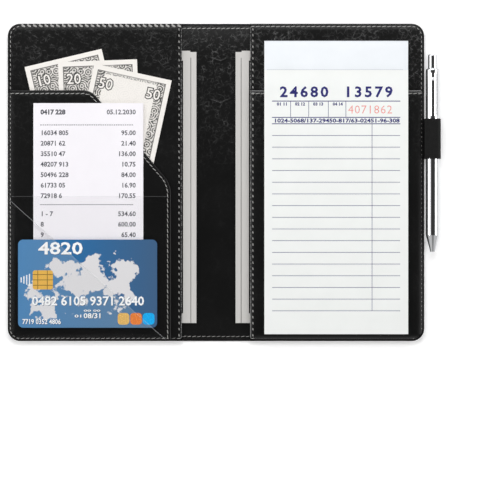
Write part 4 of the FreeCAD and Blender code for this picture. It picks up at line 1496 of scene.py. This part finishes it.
class PRESENTER_OT_banknotes(bpy.types.Operator):
    """Model the notes that stand in the currency pocket"""

    bl_idname = "presenter.banknotes"
    bl_label = "Banknotes"

    def execute(self, context):
        # Printed figure of each note, and in millimetres the widths of its left and right panels
        # and their length
        prints = {
            "left": ("10", 21.0, 20.0, 42.0),
            "middle": ("20", 21.0, 13.0, 42.0),
            "right": ("50", 5.5, 6.5, 70.0),
        }
        for side, (text, *panels) in prints.items():
            self.make_note(side, text, panels)
        return {"FINISHED"}

    def make_note(self, side, text, panels):
        """One note with its figures, turned and lifted as it stands in the pocket."""
        name, body = "banknote_" + side, "note_" + side
        centre, turn, wide, tall = note_place(side)
        top, thick = high(name).z, high(name).z - low(name).z
        figure_height, figure_inset, head_inset, figure_thick = 7.4 * MM, 11.0 * MM, 16.0 * MM, 0.02 * MM
        note = add_grid(name + "_sheet", (-wide / 2, -tall / 2), (wide / 2, tall / 2), top, SHEET_CELL)
        feet = (tall / 2 - head_inset, head_inset - figure_height - tall / 2)
        places = [(corner * (wide / 2 - figure_inset), foot) for foot in feet for corner in (-1, 1)]
        layers = {}
        for layer, bold, level in (("outline", 0.11, INK_GAP), ("figures", 0.02, INK_GAP + figure_thick)):
            pieces = [
                figures(
                    "figure", text, figure_height, (*place, top + level), "CENTER", bold=bold,
                    thick=figure_thick,
                )
                for place in places
            ]
            layers[layer] = join(pieces, name + "_" + layer)
        # Only the uppermost note stands off the others, so that each is drawn out past its neighbours
        lift = sizes().note_lift if side == "right" else 0
        lift_from, lift_over = POCKET_HEAD - 4 * MM, 45 * MM
        for obj in (note, *layers.values()):
            obj.rotation_euler = (0, 0, turn)
            obj.location = (centre.x, centre.y, 0)
            settle(obj)
            for vertex in obj.data.vertices:
                vertex.co.z += lift * ease((vertex.co.y - lift_from) / lift_over)
        apply_modifier(note, "SOLIDIFY", thickness=thick, offset=-1)
        smooth(note)
        engraved = finish("Engraved note paper, " + side, engraved_note, wide / MM, tall / MM, *panels)
        finish_piece(note, engraved, body, [name])
        finish_piece(layers["outline"], finish("Engraving ink", ink, colours().note_ink), body)
        unprinted = finish("Unprinted note paper", paper, colours().note_paper)
        finish_piece(layers["figures"], unprinted, body)


class PRESENTER_OT_receipt(bpy.types.Operator):
    """Model the till receipt and its print"""

    bl_idname = "presenter.receipt"
    bl_label = "Receipt"

    def execute(self, context):
        lowest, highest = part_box("receipt")
        corners = rectangle(lowest.x, lowest.y, highest.x, highest.y)
        slip = sheet("receipt_slip", corners, highest.z, highest.z - lowest.z, edge_round=0)
        thermal = finish("Thermal paper", paper, colours().receipt_paper)
        finish_piece(slip, thermal, "till_receipt", ["receipt"])
        level = highest.z + INK_GAP
        left, right = lowest.x + 5.2 * MM, highest.x - 5.4 * MM
        ink_grey = finish("Thermal print", ink, colours().receipt_ink)
        height, pitch, weight = 3.3 * MM, 7.55 * MM, 0.035
        # As shares of the pitch: the first item and rule below the head, and the gap and rise of a rule
        item_drop, rule_drop, rule_gap, rule_rise = 1.98, 1.02, 0.72, 0.36
        dot, dot_width, dot_pitch = 0.7 * MM, 0.5 * MM, 1.6 * MM
        first = highest.y - 8.0 * MM
        print_rows = [figures("figures", "0417 228", height, (left, first, level), bold=2 * weight),
                      figures("figures", "05.12.2030", height, (right, first, level), "RIGHT", bold=weight)]
        items = (
            ("16034 805", "95.00"), ("20871 62", "21.40"), ("35510 47", "136.00"), ("48207 913", "10.75"),
            ("50496 228", "84.00"), ("61733 05", "16.90"), ("72918 6", "170.55"), None,
            ("1 - 7", "534.60"), ("8", "600.00"), ("9", "65.40"), None,
            ("00417", "228.05"), ("00512", "31.20"), ("00630", "8.15"),
        )
        y = first - pitch * item_drop
        rules = [first - pitch * rule_drop]
        for item in items:
            if item is None:
                rules.append(y + pitch * rule_rise)
                y -= pitch * rule_gap
                continue
            print_rows.append(figures("figures", item[0], height, (left, y, level), bold=weight))
            print_rows.append(figures("figures", item[1], height, (right, y, level), "RIGHT", bold=weight))
            y -= pitch
        form_print(print_rows, "receipt_figures", ink_grey, "till_receipt")
        rows = []
        for y in rules:
            row = rule("dot", (left, y), (left + dot, y), dot_width, level)
            repeat(row, int((right - left) / dot_pitch), dot_pitch)
            rows.append(row)
        form_print(rows, "receipt_rules", ink_grey, "till_receipt")
        return {"FINISHED"}


class PRESENTER_OT_payment_card(bpy.types.Operator):
    """Finish the payment card and its print"""

    bl_idname = "presenter.payment_card"
    bl_label = "Payment card"

    def execute(self, context):
        dress("payment_card", finish("Laminated PVC card", printed_card))
        dress("card_chip", finish("Gold plated contact", gold_contact))
        self.print_figures()
        self.print_tiles()
        self.print_bars()
        return {"FINISHED"}

    def print_figures(self):
        """Raised plain figures with a soft dark shade at one side."""
        corner, top = low("payment_card"), high("payment_card").z
        # Figures, and in millimetres their height, their left end and foot from the card's corner,
        # and their width
        rows = (
            ("0482 6105 9371 2640", 6.3, 9.9, 16.2, 80.6),
            ("08/31", 3.5, 47.1, 6.9, 12.1),
            ("00 00", 1.4, 47.1, 11.6, 12.1),
            ("01", 2.0, 40.6, 7.4, 4.8),
            ("7719 0352 4806", 3.5, 3.0, 2.7, 27.6),
            ("4820", 8.5, 14.6, 53.0, 32.0),
        )
        shadow = finish("Shade of card print", ink, hex_colour("#3f5468"))
        raised, shift = 0.06 * MM, 0.3 * MM
        layers = (
            ("card_figures", white_print(), INK_GAP + raised / 2, raised, 0),
            ("card_figures_shade", shadow, INK_GAP, INK, shift),
        )
        for name, material, level, thick, aside in layers:
            pieces = []
            for text, height, left, foot, wide in rows:
                place = (corner.x + left * MM + aside, corner.y + foot * MM - aside, top + level)
                pieces.append(figures(
                    "figures", text, height * MM, place, wide=wide * MM, bold=0.03, thick=thick
                ))
            form_print(pieces, name, material, "card")

    def print_tiles(self):
        """Three plain rounded tiles in the foot corner."""
        foot, top = low("payment_card").y + 2.2 * MM, high("payment_card").z
        right = high("payment_card").x - 1.9 * MM
        side, gap, rounding = 8.4 * MM, 0.65 * MM, 2.4 * MM
        values = ("#d9ad63", "#df7a3a", "#14a0e8")
        for i, value in enumerate(values, 1):
            after = len(values) - i
            left = right - (after + 1) * side - after * gap
            tile = add_block(f"card_tile_{i}", (left, foot, top), (left + side, foot + side, top + INK))
            edit(tile)
            select(tile, "EDGE", lambda p: abs(p[0].z - p[1].z) > TOUCH and abs(p[0].x - p[1].x) < TOUCH)
            bpy.ops.mesh.bevel(offset=rounding, segments=4)
            close_edit(recalculate=False)
            printed = finish(f"Card tile print {i}", ink, hex_colour(value))
            finish_piece(tile, printed, "card")

    def print_bars(self):
        """Plain bars beside the contact plate, longer towards it."""
        corner, top = low("payment_card"), high("payment_card").z
        middle = (low("card_chip").y + high("card_chip").y) / 2
        first, pitch, shortest, step, width = 2.2 * MM, 2.0 * MM, 1.4 * MM, 0.85 * MM, 0.8 * MM
        count = 4
        bars = []
        for i in range(count):
            x, half = corner.x + first + i * pitch, shortest + i * step
            bars.append(rule("bar", (x, middle - half), (x, middle + half), width, top + INK_GAP))
        form_print(bars, "card_bars", white_print(), "card")


def dress(name, material):
    """Give a piece of the frame its finish."""
    obj = frame["nodes"][name]
    obj.data.materials.clear()
    obj.data.materials.append(material)


class PRESENTER_OT_rigid_pieces(bpy.types.Operator):
    """Finish the pen, the rails and the boards, whose shapes come from the frame"""

    bl_idname = "presenter.rigid_pieces"
    bl_label = "Pen, rails and boards"

    def execute(self, context):
        chrome = finish("Polished chrome plate", polished_metal, hex_colour("#dcdddf"), 0.07)
        for part in ("upper_barrel", "ring", "lower_barrel", "nose", "collar", "clip", "button"):
            dress("pen_" + part, chrome)
        dress("pen_refill", finish("Drawn brass", polished_metal, hex_colour("#c9a35a"), 0.25))
        dress("pen_cam", finish("Moulded acetal", satin_plastic, hex_colour("#e8e8e6")))
        for side, _ in SIDES:
            dress(side + "_side_rail", finish("Satin rail plastic", rail_plastic, colours().rail))
            dress(side + "_cover_board", finish("Greyboard", fibre_board, "#8a857c"))
            dress(side + "_cover_foam", finish("Cover foam", fibre_board, "#b8b8b4"))
        dress("pad_board", finish("Chipboard", fibre_board, "#9b948a"))
        dress("pad_glue_edge", finish("Padding compound", satin_plastic, hex_colour("#dfe4ea")))
        return {"FINISHED"}


class PRESENTER_OT_pen_spring(bpy.types.Operator):
    """Model the pen's return spring as a coil of wire"""

    bl_idname = "presenter.pen_spring"
    bl_label = "Pen spring"

    def execute(self, context):
        lowest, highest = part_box("pen_spring")
        middle, length = (lowest + highest) / 2, highest.y - lowest.y
        radius = (highest.x - lowest.x - SPRING_WIRE) / 2
        bpy.ops.object.select_all(action="DESELECT")
        bpy.ops.mesh.primitive_circle_add(
            vertices=SPRING_SIDES, radius=SPRING_WIRE / 2, location=(radius, 0, 0),
            rotation=(math.pi / 2, 0, 0),
        )
        obj = take("pen_spring_coil")
        apply_modifier(
            obj, "SCREW", axis="Z", iterations=SPRING_TURNS, steps=SPRING_STEPS, render_steps=SPRING_STEPS,
            screw_offset=(length - SPRING_WIRE) / SPRING_TURNS,
        )
        edit(obj)
        bpy.ops.mesh.select_all(action="SELECT")
        bpy.ops.mesh.fill_holes(sides=0)
        close_edit()
        obj.rotation_euler = (-math.pi / 2, 0, 0)
        obj.location = (middle.x, lowest.y + SPRING_WIRE / 2, middle.z)
        settle(obj)
        smooth(obj)
        steel = finish("Drawn spring steel", polished_metal, hex_colour("#b9babc"), 0.3)
        finish_piece(obj, steel, "pen", ["pen_spring"])
        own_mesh(obj)
        return {"FINISHED"}


class PRESENTER_OT_stage(bpy.types.Operator):
    """Set the pale floor, the soft studio lights and the camera above the open folder"""

    bl_idname = "presenter.stage"
    bl_label = "Stage"

    def execute(self, context):
        self.make_floor()
        self.make_sky()
        self.make_lamps()
        self.make_camera(context)
        return {"FINISHED"}

    def make_floor(self):
        """A wide white table."""
        width, gap, glow_level = 8, 0.15 * MM, 0.3
        bpy.ops.object.select_all(action="DESELECT")
        bpy.ops.mesh.primitive_plane_add(size=width, location=(0, 0, -gap))
        floor = take("studio_floor")
        made, tree, shader = new_material(
            "White studio paper", hex_colour("#f2f2f2"), 0.9, Specular_IOR_Level=0.1
        )
        rays = node(tree, "ShaderNodeLightPath").outputs
        seen = rays["Is Camera Ray"]
        for kind in ("Is Glossy Ray", "Is Transmission Ray"):
            seen = node(tree, "ShaderNodeMath", {0: seen, 1: rays[kind]}, operation="MAXIMUM")
        glow = node(tree, "ShaderNodeMath", {0: seen, 1: glow_level}, operation="MULTIPLY")
        feed(tree, shader, {"Emission Color": (1, 1, 1, 1), "Emission Strength": glow})
        floor.data.materials.append(made)

    def make_sky(self):
        """A dim even sky, white to the camera, and to mirrors a pale room under a dark ceiling."""
        world = bpy.data.worlds.new("Studio")
        bpy.context.scene.world = world
        world.use_nodes = True
        tree = world.node_tree
        rays = node(tree, "ShaderNodeLightPath").outputs
        sky = node(tree, "ShaderNodeTexCoord").outputs["Generated"]
        up = node(tree, "ShaderNodeSeparateXYZ", {"Vector": sky}).outputs["Z"]
        ceiling_edge, room_edge = math.cos(math.radians(24)), math.cos(math.radians(40))
        ceiling, room, even = 0.05, 0.65, 0.08
        mirrored = node(tree, "ShaderNodeMapRange", {
            "Value": up, "From Min": room_edge, "From Max": ceiling_edge, "To Min": room, "To Max": ceiling,
        })
        mirror = {0: rays["Is Glossy Ray"], 1: rays["Is Transmission Ray"]}
        mirror = node(tree, "ShaderNodeMath", mirror, operation="MAXIMUM")
        level = node(tree, "ShaderNodeMix", {"Factor": mirror, "A": even, "B": mirrored})
        level = node(tree, "ShaderNodeMix", {"Factor": rays["Is Camera Ray"], "A": level, "B": 1.0})
        feed(tree, tree.nodes["Background"], {"Color": (1, 1, 1, 1), "Strength": level})

    def make_lamps(self):
        """Large soft lamps round the table."""
        lamps = (
            ("head_lamp", (0.0, 0.75, 0.85), 1.0, 8.7),
            ("left_lamp", (-1.5, 0.1, 0.95), 1.2, 12.3),
            ("right_lamp", (1.5, 0.1, 0.95), 1.2, 11.0),
            ("foot_lamp", (0.0, -1.5, 0.95), 1.2, 8.7),
        )
        depth_share = 0.6
        for name, place, size, power in lamps:
            bpy.ops.object.light_add(type="AREA", location=place)
            lamp = bpy.context.object
            lamp.name = name
            lamp.data.shape = "RECTANGLE"
            lamp.data.size = size
            lamp.data.size_y = size * depth_share
            lamp.data.energy = power
            lamp.rotation_euler = (-Vector(place)).to_track_quat("-Z", "Y").to_euler()

    def make_camera(self, context):
        """A long lens straight above, framed as a flat lay."""
        distance = 3.0
        frame_width = 0.3605
        bpy.ops.object.camera_add(location=(24.5 * MM, -48.7 * MM, distance), rotation=(0, 0, 0))
        camera = context.object
        camera.name = "overhead_camera"
        camera.data.sensor_width = 36.0
        camera.data.lens = camera.data.sensor_width * distance / frame_width
        context.scene.camera = camera
        context.scene.view_settings.view_transform = "Standard"


OPERATORS = (
    PRESENTER_OT_cover_leather,
    PRESENTER_OT_strip_leather,
    PRESENTER_OT_linings,
    PRESENTER_OT_pockets,
    PRESENTER_OT_clear_pockets,
    PRESENTER_OT_pen_loop,
    PRESENTER_OT_stitching,
    PRESENTER_OT_guest_pad,
    PRESENTER_OT_banknotes,
    PRESENTER_OT_receipt,
    PRESENTER_OT_payment_card,
    PRESENTER_OT_rigid_pieces,
    PRESENTER_OT_pen_spring,
    PRESENTER_OT_stage,
)


class PRESENTER_PT_panel(bpy.types.Panel):
    """Lists the presenter's pieces and settings"""

    bl_label = "Check presenter"
    bl_idname = "PRESENTER_PT_panel"
    bl_space_type = "VIEW_3D"
    bl_region_type = "UI"
    bl_category = "Presenter"

    def draw(self, context):
        for group in (context.scene.presenter_colours, context.scene.presenter_sizes):
            for key in group.__annotations__:
                self.layout.prop(group, key)
        for operator in OPERATORS:
            self.layout.operator(operator.bl_idname)


CLASSES = (PresenterColours, PresenterSizes, *OPERATORS, PRESENTER_PT_panel)


def register():
    """Register the settings, the operators and the panel."""
    for item in CLASSES:
        bpy.utils.register_class(item)
    bpy.types.Scene.presenter_colours = bpy.props.PointerProperty(type=PresenterColours)
    bpy.types.Scene.presenter_sizes = bpy.props.PointerProperty(type=PresenterSizes)


def unregister():
    """Remove what register added."""
    del bpy.types.Scene.presenter_colours
    del bpy.types.Scene.presenter_sizes
    for item in reversed(CLASSES):
        bpy.utils.unregister_class(item)


def main():
    """Register the settings, the operators and the panel, then make every piece and the stage."""
    register()
    for operator in OPERATORS:
        group, name = operator.bl_idname.split(".")
        getattr(getattr(bpy.ops, group), name)()


if __name__ == "__main__":
    main()
